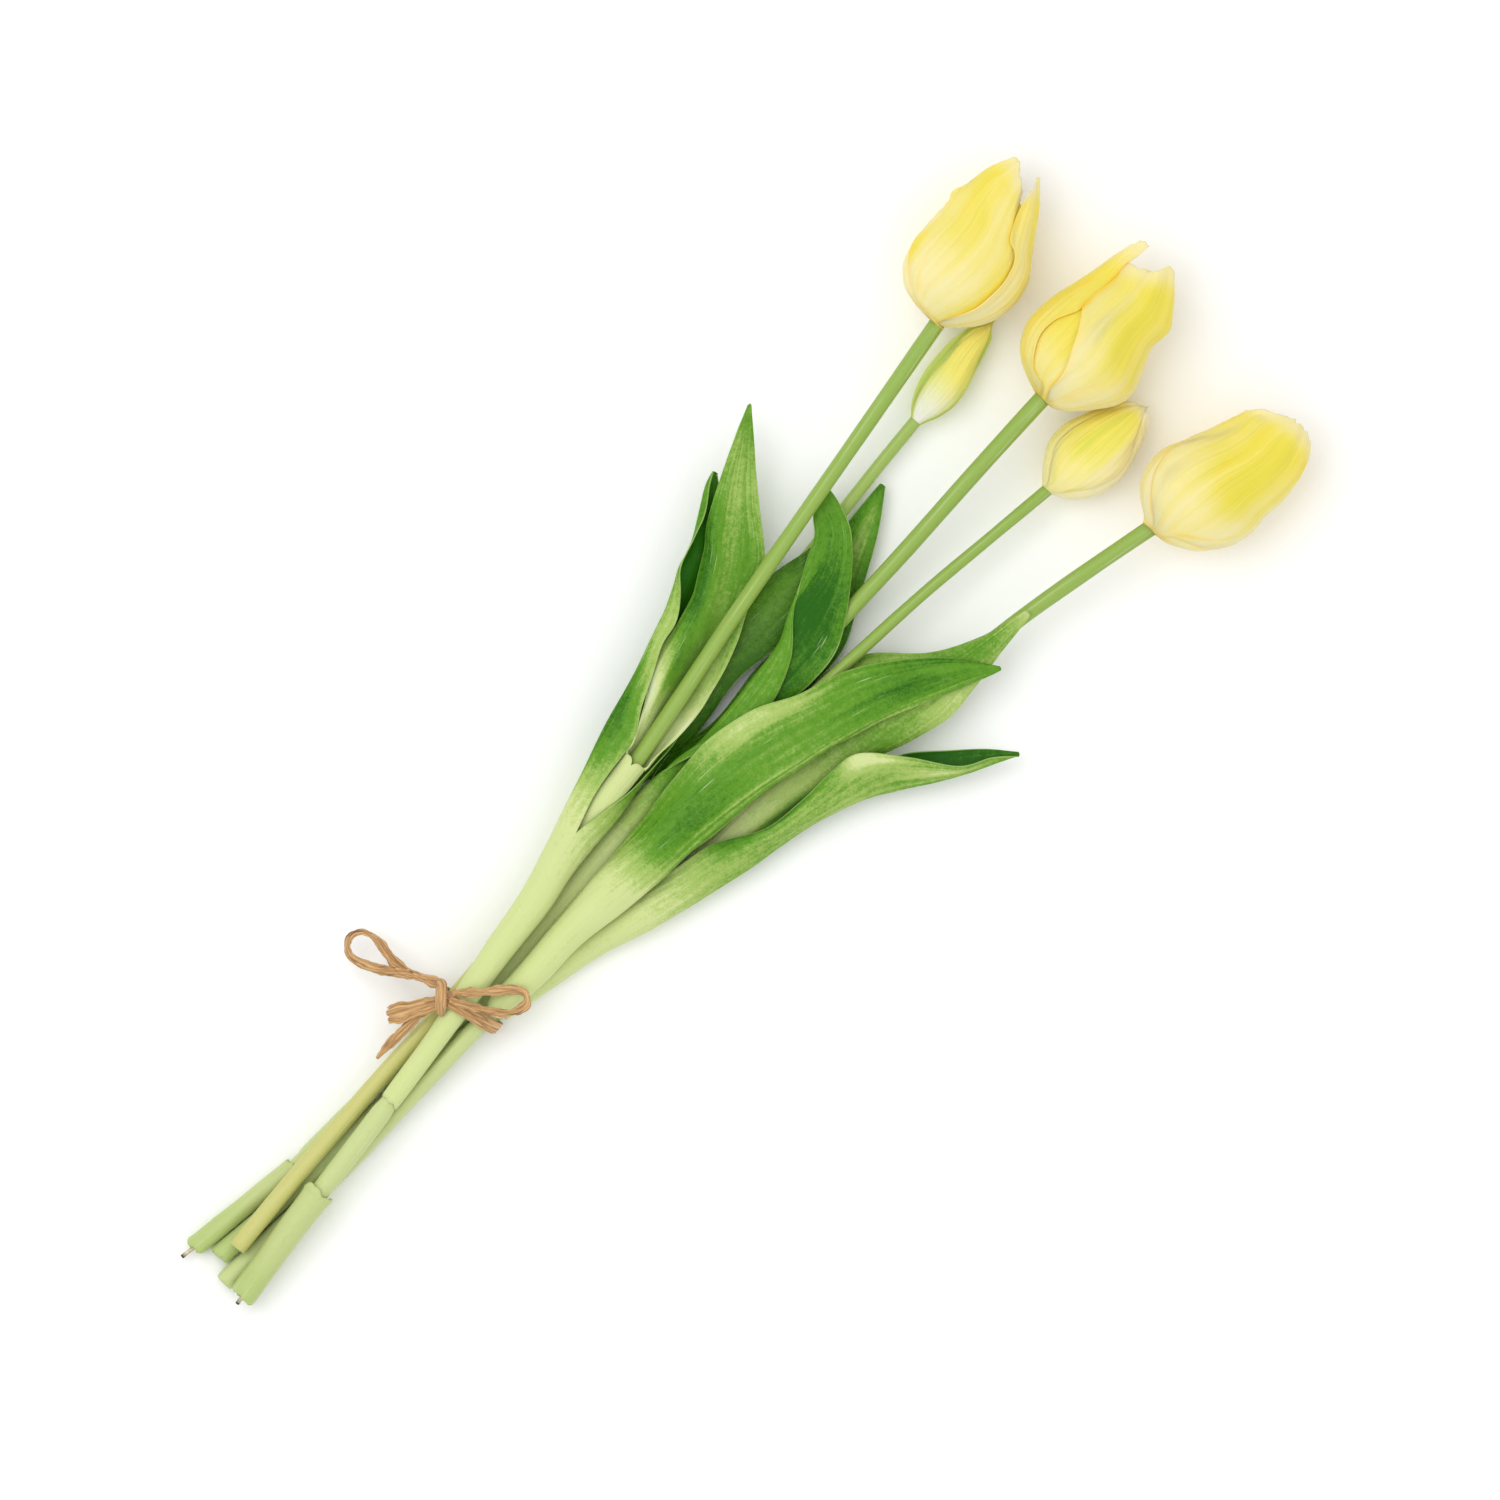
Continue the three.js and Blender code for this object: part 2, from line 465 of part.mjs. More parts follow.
const STEM_3 = [
  [-121.8, 14.6, 4.0, 2.4], [-110, 12.9, 3.9, 2.3], [-95, 10.9, 3.7, 2.1],
  [-78, 8.9, 3.4, 1.9], [-70, 8.4, 3.3, 2.5], [-40, 6.9, 3.6, 2.7], [-20, 4.9, 4.0, 2.7],
  [0, 2.0, 4.5, 2.6], [10, 1.55, 4.6, 2.5], [22, 1.8, 4.9, 2.5], [40, 2.6, 5.3, 2.5],
  [60, 3.6, 6.0, 2.4], [79, 4.4, 6.8, 2.0], [92, 4.5, 7.2, 2.2], [102, 4.1, 7.8, 2.6],
  [124, 2.2, 9, 2.7], [145, 0.6, 10.6, 2.7], [165, -0.3, 11.8, 2.7], [185, -0.5, 12.9, 2.7],
  [210, -0.4, 14.6, 2.75], [245, 0.4, 18, 2.8], [277.6, 0.8, 21.6, 2.9],
];
const STEM_4 = [
  [-124.2, -0.75, 3.9, 3.0], [-121, -0.9, 3.9, 3.5], [-110, -1.75, 3.8, 3.45],
  [-98, -2.2, 3.6, 3.2], [-79, -3.5, 3.5, 2.9], [-62, -4.0, 5.4, 2.9], [-45, -4.0, 7.8, 2.9],
  [-20, -4.6, 10.3, 2.8], [0, -5.0, 12.2, 2.7], [10, -5.2, 13.2, 2.6], [22, -5.7, 14.4, 2.6],
  [40, -5.3, 14.9, 2.4], [60, -6.2, 15.0, 2.3], [90, -7, 14.8, 2.2], [120, -8, 14.2, 2.1],
  [155, -10.7, 13.4, 2.1], [200, -14.3, 12.8, 2.0], [230, -17.9, 12.2, 2.0],
  [257.1, -21.3, 11.8, 2.1],
];
const STEM_5 = [
  [-118.2, 6.8, 4.1, 2.4], [-109, 5.6, 3.9, 2.3], [-98, 4.6, 3.6, 2.1], [-88, 3.8, 3.4, 2.6],
  [-79, 2.8, 3.3, 2.7], [-62, 1.9, 3.3, 2.7], [-40, 0.8, 3.6, 2.7], [-20, -1.6, 4.0, 2.7],
  [0, -5.0, 4.5, 2.6], [10, -7.4, 4.6, 2.5], [25, -9.9, 4.9, 2.6], [42, -13.2, 5.3, 2.6],
  [58, -17.0, 6.4, 2.4], [80, -20.4, 6.6, 2.4], [90, -22.2, 6.8, 2.5], [100, -24, 7, 2.6],
  [125, -29, 7.9, 2.7], [150, -33.4, 9.2, 2.7], [180, -38, 11.4, 2.7], [203, -41.4, 13.2, 2.65],
  [223, -44.6, 15.4, 2.65], [247, -49.6, 17.6, 2.7], [269.9, -54.8, 19.4, 2.75],
];
const WIRES = [
  ["wire_1", 0, [-126.1, -7.9]],
  ["wire_2", 2, [-127.4, 15.3]],
];
const STEMS = [STEM_1, STEM_2, STEM_3, STEM_4, STEM_5];
const STEM_COLOURS = [COLOURS.stem_green, COLOURS.stem_tan, COLOURS.stem_green,
  COLOURS.stem_green, COLOURS.stem_green];
const stemSolids = STEMS.map((stations) => bar(stations, 1, STEM_SIDES));

for (const [name, stemIndex, tip] of WIRES) {
  const stations = STEMS[stemIndex];
  const end = stations[0];
  const inside = sampleList(stations, 0.5);
  const d = unit(subtract(inside.slice(0, 3), end.slice(0, 3)));
  const at = (s) => [end[0] + d[0] * s, end[1] + d[1] * s, end[2] + d[2] * s];
  const holeStart = at(-2).concat(WIRE_HOLE_DIAMETER / 2);
  const holeEnd = at(WIRE_HOLE_DEPTH).concat(WIRE_HOLE_DIAMETER / 2);
  const hole = bar([holeStart, holeEnd], 1, 8);
  const drilled = toManifold(stemSolids[stemIndex]).subtract(toManifold(hole));
  stemSolids[stemIndex] = fromManifold(drilled);
  const free = at(-(end[0] - tip[0]));
  const wire = bar([[free[0], free[1], free[2], WIRE_DIAMETER / 2],
    at(WIRE_HOLE_DEPTH - 0.4).concat(WIRE_DIAMETER / 2)], 1, 8);
  addNode(name, wire, COLOURS.wire_metal, 0.5, 0.6);
}
stemSolids.forEach((solid, i) => {
  addNode("stem_" + (i + 1), solid, STEM_COLOURS[i], 0.5);
});

// Thick pale sleeves at the cut ends of stems 1, 3 and 5.
const END_SLEEVES = [
  ["end_sleeve_1", [[-123.4, -8.4, 8.9, 4.2], [-110, -6.6, 10.6, 4.2], [-92, -4.6, 12.2, 4.3],
    [-78.6, -3.4, 13.0, 4.5]], 1.0],
  ["end_sleeve_2", [[-122.6, 14.75, 4.0, 3.2], [-110, 12.95, 3.9, 3.1], [-95, 10.9, 3.7, 2.9],
    [-79, 9.0, 3.4, 2.7]], 0.8],
  ["end_sleeve_3", [[-118.8, 6.8, 4.1, 3.3], [-109, 5.6, 3.9, 3.1], [-99, 4.7, 3.6, 2.8]], 0.8],
];
for (const [name, rings, thickness] of END_SLEEVES) {
  addNode(name, leaf(rings, 90, -1, 1, 10, thickness), COLOURS.sleeve_pale, 0.5);
}

// Blooms and buds.

// Stations along a head: x, centre y, centre z, half width, half height.
const BLOOM_1 = [
  [272.4, 47.6, 19.9, 5.6, 5.2], [274, 49.6, 19.9, 9.6, 9.2], [277, 50, 19.8, 13.2, 12.9],
  [281, 49.6, 19.7, 16.4, 16.2], [287, 48.7, 19.6, 18.7, 18.6], [295, 48.3, 19.6, 19.2, 19.0],
  [303, 49.1, 19.6, 18.1, 17.8], [310, 51.7, 19.7, 15.9, 15.6], [317, 53.8, 19.9, 13.3, 12.8],
  [324, 55.2, 20, 9.9, 9.6], [330.5, 56.8, 20, 5.4, 5.2],
];
const BLOOM_2 = [
  [278.4, 0.4, 21.8, 4.6, 4.4], [280.4, 1.2, 22, 9, 8.6], [283.6, 2.2, 22.3, 13.4, 12.8],
  [288, 2.2, 22.6, 17.2, 16.2], [294, 1.3, 22.8, 20.4, 18.6], [300, 1, 23, 20.8, 19.4],
  [307, 1.8, 23, 19, 18], [314, 1.9, 23, 17, 16], [322, 1.3, 22.8, 15.6, 13.6],
  [330, 2.6, 22.6, 12.8, 10.6], [338.5, 5, 22.2, 8.2, 7.4],
];
const BLOOM_3 = [
  [271.2, -57, 19.6, 5, 5], [273, -58.4, 19.7, 8, 7.9], [276, -58.7, 19.7, 12.7, 12.4],
  [280, -58.6, 19.7, 16.4, 16], [286, -59.2, 19.7, 19.2, 18.6], [293, -60.2, 19.8, 20, 19.2],
  [300, -61.6, 19.8, 18.2, 18], [308, -64.1, 19.8, 16.2, 15.8], [315, -65.2, 19.8, 15, 14],
  [321, -65, 19.8, 13.6, 12], [326, -65.2, 19.8, 10.6, 9.6], [330, -65.4, 19.8, 5.4, 6],
];
const BUD_1 = [
  [244.5, 26.7, 8.1, 2.2, 2.2], [247, 27.2, 8.1, 3.8, 3.7], [251, 27.5, 8.1, 5.8, 5.6],
  [257, 27.9, 8.1, 7.3, 7.1], [264, 28.8, 8.1, 7.2, 7.1], [271, 30, 8.1, 6, 5.9],
  [278, 30.5, 8.1, 4.3, 4.2], [283, 30.3, 8.1, 2.4, 2.4], [287, 30.3, 8.1, 0.9, 0.9],
];
const BUD_2 = [
  [257.6, -21.4, 11.6, 2.6, 2.6], [260, -22.6, 11.4, 6, 5.6], [264, -23, 11.2, 9.6, 8.6],
  [270, -23.1, 11.1, 12.5, 10.6], [277, -23.6, 11, 12.8, 10.8], [284, -24.2, 11, 11, 10],
  [290, -24.8, 11, 8.6, 8], [295, -25.2, 11.1, 5.4, 5.2], [298.5, -25.8, 11.2, 2.6, 2.6],
  [300.4, -26.6, 11.2, 0.9, 0.9],
];

const PETAL_ROWS = [0, 0.08, 0.2, 0.38, 0.58, 0.78, 0.92, 1];
// Share of the full half width at each row of a petal.
const PETAL_WIDTHS = [0.8, 0.92, 1, 1, 1, 0.9, 0.62, 0.2];

// One petal on the surface of a head. Angles in degrees: 0 is +Y, 90 is up, 180 is -Y.
function petal(head, spec, rowShares, widths, columns, thickness) {
  const rows = rowShares.map((share, i) => {
    const position = (spec.start || 0) + share * (spec.end - (spec.start || 0));
    const [x, y, z, h, v] = sampleList(head, position * (head.length - 1));
    const half = spec.half * widths[i];
    const row = [];
    for (let j = 0; j <= columns; j += 1) {
      const across = (2 * j) / columns - 1;
      const angle = ((spec.centre + (spec.lean || 0) * share + half * across) * Math.PI) / 180;
      const tuck = 1 - 0.05 * across ** 4 * (spec.layer < 1 ? 0 : 1);
      const point = 1 - (spec.notch || 0) * across ** 2 * Math.max(0, share - 0.8);
      const scale = spec.layer * tuck * point;
      const reach = share > 0.9 ? (1 - across ** 2) * (spec.tip || 0) : 0;
      row.push([x + reach, y + Math.cos(angle) * h * scale, z + Math.sin(angle) * v * scale]);
    }
    return row;
  });
  return sheet(rows, 0, thickness);
}

// Filled body on the surface of a head, used for the receptacle and the heart of a bud.
function core(head, start, end, scale, rows, sides) {
  const stations = [];
  for (let i = 0; i <= rows; i += 1) {
    const position = (start + ((end - start) * i) / rows) * (head.length - 1);
    stations.push(sampleList(head, position));
  }
  const positions = [];
  const triangles = [];
  for (const [x, y, z, h, v] of stations) {
    for (let j = 0; j < sides; j += 1) {
      const angle = (2 * Math.PI * j) / sides;
      positions.push([x, y + Math.cos(angle) * h * scale, z + Math.sin(angle) * v * scale]);
    }
  }
  for (let i = 0; i < rows; i += 1) {
    for (let j = 0; j < sides; j += 1) {
      const a = i * sides + j;
      const b = i * sides + ((j + 1) % sides);
      triangles.push([a, b, b + sides], [a, b + sides, a + sides]);
    }
  }
  const top = rows * sides;
  for (let j = 1; j + 1 < sides; j += 1) {
    triangles.push([0, j + 1, j], [top, top + j, top + j + 1]);
  }
  return makeGeometry(positions, triangles);
}

const BLOOMS = [
  ["bloom_1", BLOOM_1, [
    { centre: 58, half: 43, layer: 1, end: 1, lean: -22, tip: 1.2 },
    { centre: 172, half: 46, layer: 0.985, end: 1, lean: -12, tip: 1.2 },
    { centre: 290, half: 60, layer: 1, end: 0.96, tip: 1 },
    { centre: 113, half: 42, layer: 0.89, end: 0.93 },
    { centre: 2, half: 44, layer: 0.9, end: 0.95 },
    { centre: 236, half: 44, layer: 0.9, end: 0.93 },
  ]],
  ["bloom_2", BLOOM_2, [
    { centre: 130, half: 50, layer: 1, end: 0.985, lean: -4, tip: 2 },
    { centre: 2, half: 46, layer: 0.985, end: 0.99, lean: 4, tip: 2 },
    { centre: 255, half: 62, layer: 1, end: 0.93 },
    { centre: 66, half: 36, layer: 0.88, end: 0.93 },
    { centre: 190, half: 44, layer: 0.9, end: 0.93 },
    { centre: 312, half: 44, layer: 0.9, end: 0.93 },
  ]],
  ["bloom_3", BLOOM_3, [
    { centre: 97, half: 61, layer: 1, end: 0.99, tip: 0.6 },
    { centre: 336, half: 56, layer: 0.985, end: 0.97, tip: 1 },
    { centre: 216, half: 56, layer: 0.985, end: 0.94 },
    { centre: 35, half: 44, layer: 0.9, end: 0.93 },
    { centre: 157, half: 44, layer: 0.9, end: 0.93 },
    { centre: 276, half: 44, layer: 0.9, end: 0.93 },
  ]],
];
for (const [name, head, petals] of BLOOMS) {
  const parts = petals.map((spec) => (
    petal(head, spec, PETAL_ROWS, PETAL_WIDTHS, PETAL_COLUMNS, PETAL_THICKNESS)));
  parts.push(core(head, 0, 0.14, 0.98, 2, 8));
  addNode(name, joined(parts), COLOURS.petal_yellow, 0.55);
}

const BUD_ROWS = [0, 0.12, 0.3, 0.5, 0.7, 0.88, 1];
const BUD_WIDTHS = [0.8, 1, 1, 1, 0.95, 0.8, 0.45];
const BUDS = [
  ["bud_1", BUD_1, [70, 190, 310]],
  ["bud_2", BUD_2, [88, 208, 328]],
];
for (const [name, head, centres] of BUDS) {
  const parts = centres.map((centre) => petal(head,
    { centre: centre, half: 54, layer: 1, start: 0.02, end: 0.97 }, BUD_ROWS, BUD_WIDTHS, 4,
    PETAL_THICKNESS));
  parts.push(core(head, 0, 1, 0.985, 7, 12));
  addNode(name, joined(parts), COLOURS.bud_yellow, 0.5);
}

// Raffia tie.

// Flat ribbon along stations [x, y, z, side x, side y, side z]: the side vector is half the
// ribbon's width.
function ribbon(stations, rowsPerSpan) {
  const rows = [];
  const total = (stations.length - 1) * rowsPerSpan;
  for (let i = 0; i <= total; i += 1) {
    const s = sampleList(stations, i / rowsPerSpan);
    rows.push([-1, 0, 1].map((k) => [s[0] + s[3] * k, s[1] + s[4] * k, s[2] + s[5] * k]));
  }
  return sheet(rows, 0, RAFFIA_THICKNESS);
}

// Band round the whole bunch: ring stations of middle points, flat on the surface below.
const BAND = [
  [-3.8, 11.2, 15.4], [-3.4, 9.0, 20.0], [-2.6, 4.6, 21.8], [-1.8, -0.2, 20.0],
  [-0.8, -5.4, 16.6], [0.2, -9.0, 13], [0.6, -9.8, 7.6], [0.6, -9, 2.6], [0, -5.6, 0.4],
  [-0.6, 0, 0.4], [-1.4, 4.6, 0.4], [-2.6, 9.4, 3.2], [-3.4, 12.2, 8.6],
];
const BAND_HALF_WIDTH = 2.4;
const bandInner = [];
const bandTriangles = [];
BAND.forEach(([x, y, z], i) => {
  const before = BAND[(i + BAND.length - 1) % BAND.length];
  const after = BAND[(i + 1) % BAND.length];
  const along = unit([0, after[1] - before[1], after[2] - before[2]]);
  const out = [0, -along[2], along[1]];
  const flat = z < 0.5 ? [0, 0, 1] : out;
  for (const side of [-BAND_HALF_WIDTH, BAND_HALF_WIDTH]) {
    for (const t of [-RAFFIA_THICKNESS / 2, RAFFIA_THICKNESS / 2]) {
      bandInner.push([x + side, y + flat[1] * t, z + flat[2] * t]);
    }
  }
});
for (let i = 0; i < BAND.length; i += 1) {
  const a = i * 4;
  const b = ((i + 1) % BAND.length) * 4;
  for (const [p, q] of [[0, 1], [1, 3], [3, 2], [2, 0]]) {
    bandTriangles.push([a + p, a + q, b + q], [a + p, b + q, b + p]);
  }
}
addNode("raffia_band", makeGeometry(bandInner, bandTriangles), COLOURS.raffia, 0.75);

const RIBBONS = [
  ["raffia_loop_left", [
    [-4.9, 14.8, 21.2, 1.2, 0.3, 0.6], [-7.0, 23, 18.6, 1.3, 0.4, 0.5],
    [-10.6, 32, 15.8, 1.5, 0.6, 0.2], [-14.4, 40, 12.8, 1.4, 0.2, 0.3],
    [-15.0, 45.4, 11, 1.1, -0.4, 0.8], [-11.2, 48.4, 10.4, 0.2, -1.3, 0.6],
    [-6.8, 46.2, 10.8, -1.2, -0.5, 0.6], [-5.2, 40, 12.2, -1.4, 0, 0.3],
    [-5.8, 33, 13.6, -1.6, 0, 0.2], [-5.6, 26, 14.6, -1.4, -0.2, 0.3],
    [-4.0, 19.6, 16.6, -1.3, -0.3, 0.5], [-2.4, 15.4, 18.6, -1.0, -0.4, 0.4],
  ]],
  ["raffia_loop_right", [
    [-0.6, 9.6, 23.6, 0.9, 1.0, 0.2], [4.6, 3.6, 22.6, 1.0, 1.1, 0.2],
    [9.8, -1.0, 21.6, 1.1, 1.1, 0.2], [14.2, -5.2, 20.8, 1.2, 0.9, 0.3],
    [15.6, -8.6, 20.4, 1.2, 0.2, 0.5], [13.4, -11.0, 20.2, 0.2, -1.1, 0.5],
    [9.6, -10.4, 20.2, -0.4, -1.2, 0.3], [6.0, -8.0, 20.4, -0.9, -0.9, 0.3],
    [3.6, -4.4, 21.4, -1.1, -0.6, 0.2], [1.6, -0.8, 22.6, -1.1, -0.6, 0.2],
    [-0.8, 3.8, 23.6, -1.0, -0.6, 0.2], [-3.2, 8.4, 23.6, -0.9, -0.5, 0.2],
  ]],
  ["raffia_tail_wide", [
    [-8.6, 12.0, 20.6, 1.2, 1.8, 0], [-12.4, 14.4, 19.2, 1.3, 2.2, 0.2],
    [-16.8, 17.2, 17.4, 1.4, 2.2, 0.3], [-21.4, 20.4, 15.4, 1.2, 1.8, 0.2],
  ]],
  ["raffia_tail_narrow", [
    [-8.4, 11.6, 18.4, 0.2, 1.3, 0], [-14, 12.4, 16.6, 0.1, 1.4, 0.2],
    [-22, 12.9, 14.4, 0.1, 1.4, 0.2], [-29, 13.2, 12.8, 0, 1.2, 0.1],
    [-34.2, 13.0, 12, 0, 0.5, 0],
  ]],
];
for (const [name, stations] of RIBBONS) {
  addNode(name, ribbon(stations, 1), COLOURS.raffia, 0.75);
}

// Knot on the upper left of the bunch.
const KNOT = bar([[-7.4, 10.8, 20.0, 1.5], [-5.4, 11.6, 21.4, 2.2], [-3.6, 12.4, 21.2, 2.2],
  [-2.0, 13.4, 20.0, 1.4]], 2, 8);
addNode("raffia_knot", KNOT, COLOURS.raffia, 0.75);

export default group;
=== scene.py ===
# Looks of the bunch of tulips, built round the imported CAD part.
# Shapes are worked out in millimetres in the part's frame and made in metres.
import math
import bpy
import numpy as np
from mathutils import Matrix, Vector
from mathutils.kdtree import KDTree


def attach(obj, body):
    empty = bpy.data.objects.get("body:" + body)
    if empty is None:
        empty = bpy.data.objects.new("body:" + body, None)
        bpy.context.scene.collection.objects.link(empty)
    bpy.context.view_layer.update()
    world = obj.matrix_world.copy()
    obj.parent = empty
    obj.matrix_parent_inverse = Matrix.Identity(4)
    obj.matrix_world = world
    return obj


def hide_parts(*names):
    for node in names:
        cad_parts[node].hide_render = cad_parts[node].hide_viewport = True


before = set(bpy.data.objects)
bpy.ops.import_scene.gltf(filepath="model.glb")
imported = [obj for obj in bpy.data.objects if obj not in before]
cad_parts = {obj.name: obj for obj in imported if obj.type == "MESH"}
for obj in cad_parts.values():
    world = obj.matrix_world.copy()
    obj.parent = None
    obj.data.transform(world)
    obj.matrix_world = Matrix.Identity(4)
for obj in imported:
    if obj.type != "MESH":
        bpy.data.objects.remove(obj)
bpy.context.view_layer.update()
METRES = 0.001
TINY = 1e-9

# Leaves: [x, y, z, radius] is a ring of the closed sleeve. An open section of the blade is x
# and five pairs of y and z, or five triples where x changes across it, from one margin over
# the middle to the other. Stems: x, y, z, radius. Heads: x, y, z and the half size in y and z.
LEAF_1 = [
  [-42, 0, 15.3, 3.05], [-20, 2.4, 15.7, 3.25], [0, 5.1, 15.9, 3.8], [20, 7.9, 16, 4.5],
  [40, 10.2, 16, 5.3], [54, 13.3, 15.8, 6], [66, 15.6, 16, 7.3],
  [80, 19.8, 22.2, 27, 18.4, 19.5, 9.6, 9.2, 15.2, 13.2, 21.6],
  [94, 21.8, 22, 31.2, 18, 22, 10.2, 12.2, 11.2, 11.2, 15.6],
  [103, 23.3, 21.8, 33.6, 18.1, 23.4, 10.6, 13.6, 11.4, 11.4, 13.4],
  [112, 28.2, 22.2, 35.8, 18.2, 25, 11, 15.5, 11.6, 12.2, 12.6],
  [130, 36.6, 21.8, 40.8, 18, 31, 12.4, 22, 12, 16, 12.5],
  [140, 39.2, 21.6, 44, 18, 35, 12.9, 26.4, 12.4, 20.4, 12.8],
  [148, 44.4, 21.2, 47.4, 18, 38, 13.2, 30, 12.7, 24, 13],
  [154, 50.2, 20.8, 49.6, 17.2, 41, 13.6, 33.5, 13, 27.5, 13.3],
  [160, 53, 20.2, 50.5, 16.5, 43.5, 14, 37, 13.4, 31, 13.6],
  [171, 55.5, 19.8, 57.4, 17.6, 52, 14.8, 47, 14.2, 42, 14.6],
  [180, 61.3, 18.6, 62.6, 17, 60, 15.3, 57.5, 14.8, 55, 15],
  [185.4, 64.4, 16.9, 185.6, 64.2, 16.5, 185.8, 63.8, 16.2, 185.8, 63.3, 16.1, 185.6, 62.8, 16.2],
]

LEAF_2 = [
  [62, 13.4, 16.4, 3.7], [78, 16.2, 17, 4.2], [95, 17.6, 17.4, 4.3],
  [97.4, 21.6, 20.2, 22.1, 17.4, 17.7, 13.1, 13.6, 15.4, 13.3, 18.9],
  [102, 22.4, 21.2, 22.2, 17.4, 17.8, 12.8, 14, 15.2, 13, 18.8],
  [113, 28.2, 20.4, 25.8, 19.6, 20.6, 13.4, 15.5, 14.8, 12.4, 17.3],
  [124, 35.2, 19.6, 29.2, 20.6, 22.6, 14.1, 16.4, 15, 12.9, 17.2],
  [132, 37.4, 19.4, 31.4, 21, 24.4, 15.1, 18.2, 15.2, 14.6, 17.1],
  [140, 38.4, 19.2, 33.6, 20.8, 26.4, 15.6, 20, 15.3, 16.6, 17],
  [150, 41, 18.8, 36.4, 20.6, 29.6, 16.3, 24, 15.7, 20, 16.6],
  [157, 44.8, 18.6, 39.8, 20.5, 33, 16.9, 27.4, 15.9, 23.4, 16.2],
  [165, 49.2, 18.4, 44.6, 20.4, 37.6, 17.4, 31.2, 16.2, 27, 16.1],
  [171.6, 54, 18.4, 172, 50.2, 20.2, 173.5, 43.5, 18, 174.5, 36, 16.7, 175, 31, 16.2],
  [186, 61.2, 18.8, 186.5, 59, 19.8, 187, 54.4, 18.8, 187.3, 49.8, 18, 187.5, 45.3, 18],
  [198, 66.5, 18.8, 198.8, 65.2, 19, 199.5, 63.4, 18.4, 200, 61.4, 18, 200.3, 59.6, 18.1],
  [209.4, 71.1, 17.7, 209.9, 71, 17.6, 210.4, 70.8, 17.5, 210.3, 70.3, 17.5, 209.9, 69.7, 17.5],
]

LEAF_3 = [
  [8, 1.5, 4.6, 3.5], [22, 1.8, 4.9, 3.8], [40, 2.6, 5.3, 4.2], [60, 3.6, 6, 4.7],
  [75, 4.5, 6.8, 5], [84, 9.4, 3.4, 9.4, 9.4, 4.6, 12.9, -0.2, 9.6, -0.9, 3.8],
  [95, 9.6, 9.8, 8, 12.4, 4.6, 13.1, 1.3, 11.8, -0.8, 8.4],
  [108, 6.2, 16, 7.4, 14.2, 5.4, 12.9, 1.2, 12.3, -3, 10.8],
  [124, -1, 16.6, 3.6, 16.3, 6, 14.4, 1, 13.3, -5, 12.6],
  [140, -3, 17.2, 4, 17.2, 7, 15.2, 1, 14.3, -5.5, 13.9],
  [157, 2.6, 18, 7, 17.8, 8.7, 16.2, 1, 15.4, -7.6, 15.6],
  [170, 13.2, 17.8, 170, 14.2, 17.2, 170, 13, 16.4, 171, 3, 16, 172, -5.6, 16],
  [183, 20.4, 17.2, 184.5, 18.5, 16.9, 186.5, 14, 16.5, 188.3, 9.5, 16.5, 189.5, 5.5, 16.8],
  [192.5, 25, 16.8, 195, 23.2, 16.5, 197.6, 20.6, 16.3, 200, 18.3, 16.3, 201.5, 16.5, 16.5],
  [197.2, 29.8, 16.2, 199.6, 29.3, 16, 202, 28.3, 15.9, 204.5, 27.2, 16, 206.2, 26, 16.1],
  [203.6, 34.3, 15.5, 204.7, 34.3, 15.4, 205.9, 34, 15.4, 206.9, 33.3, 15.4, 207.7, 32.4, 15.5],
]

LEAF_4 = [
  [64, 3.8, 6.2, 3.3], [79, 4.4, 6.8, 3.15],
  [88, 7.9, 9.2, 8.2, 5.4, 4.5, 3.2, 0.9, 5.2, 1.1, 9.2],
  [98, 9.8, 6.6, 8.2, 4.4, 4.4, 3.2, 1.2, 4.2, 0.6, 6.6],
  [110, 11, 6.2, 7.8, 4.2, 3.8, 3.3, 0, 3.6, -3, 5],
  [125, 7.5, 5, 4.5, 3.9, 1, 3.5, -3, 3.6, -6.5, 4.5],
  [145, 9.1, 5.6, 5, 4.5, 0.5, 4.1, -3.6, 4.3, -7.6, 5.2],
  [160, 8.8, 6.4, 5, 5.3, 0.5, 4.9, -4, 5.1, -8.6, 6],
  [172, 11.5, 7.2, 172.5, 7, 6.1, 173, 2.5, 5.6, 173, -2.5, 5.6, 173, -7.3, 6.2],
  [186, 15.8, 7.6, 186.5, 12, 6.7, 187, 8, 6.3, 187.3, 3.8, 6.2, 187.5, -0.3, 6.7],
  [202, 19.8, 7.2, 202.5, 17.2, 6.5, 203, 14.2, 6.2, 203.3, 11, 6.2, 203.5, 7.8, 6.6],
  [213, 20.7, 6.6, 213.2, 19.3, 6.2, 213.4, 17.6, 6, 213.5, 15.7, 6.1, 213.6, 13.9, 6.4],
  [220.6, 21, 6.2, 220.8, 20.6, 6.1, 221, 20.1, 6, 221, 19.5, 6, 220.8, 18.9, 6.2],
]

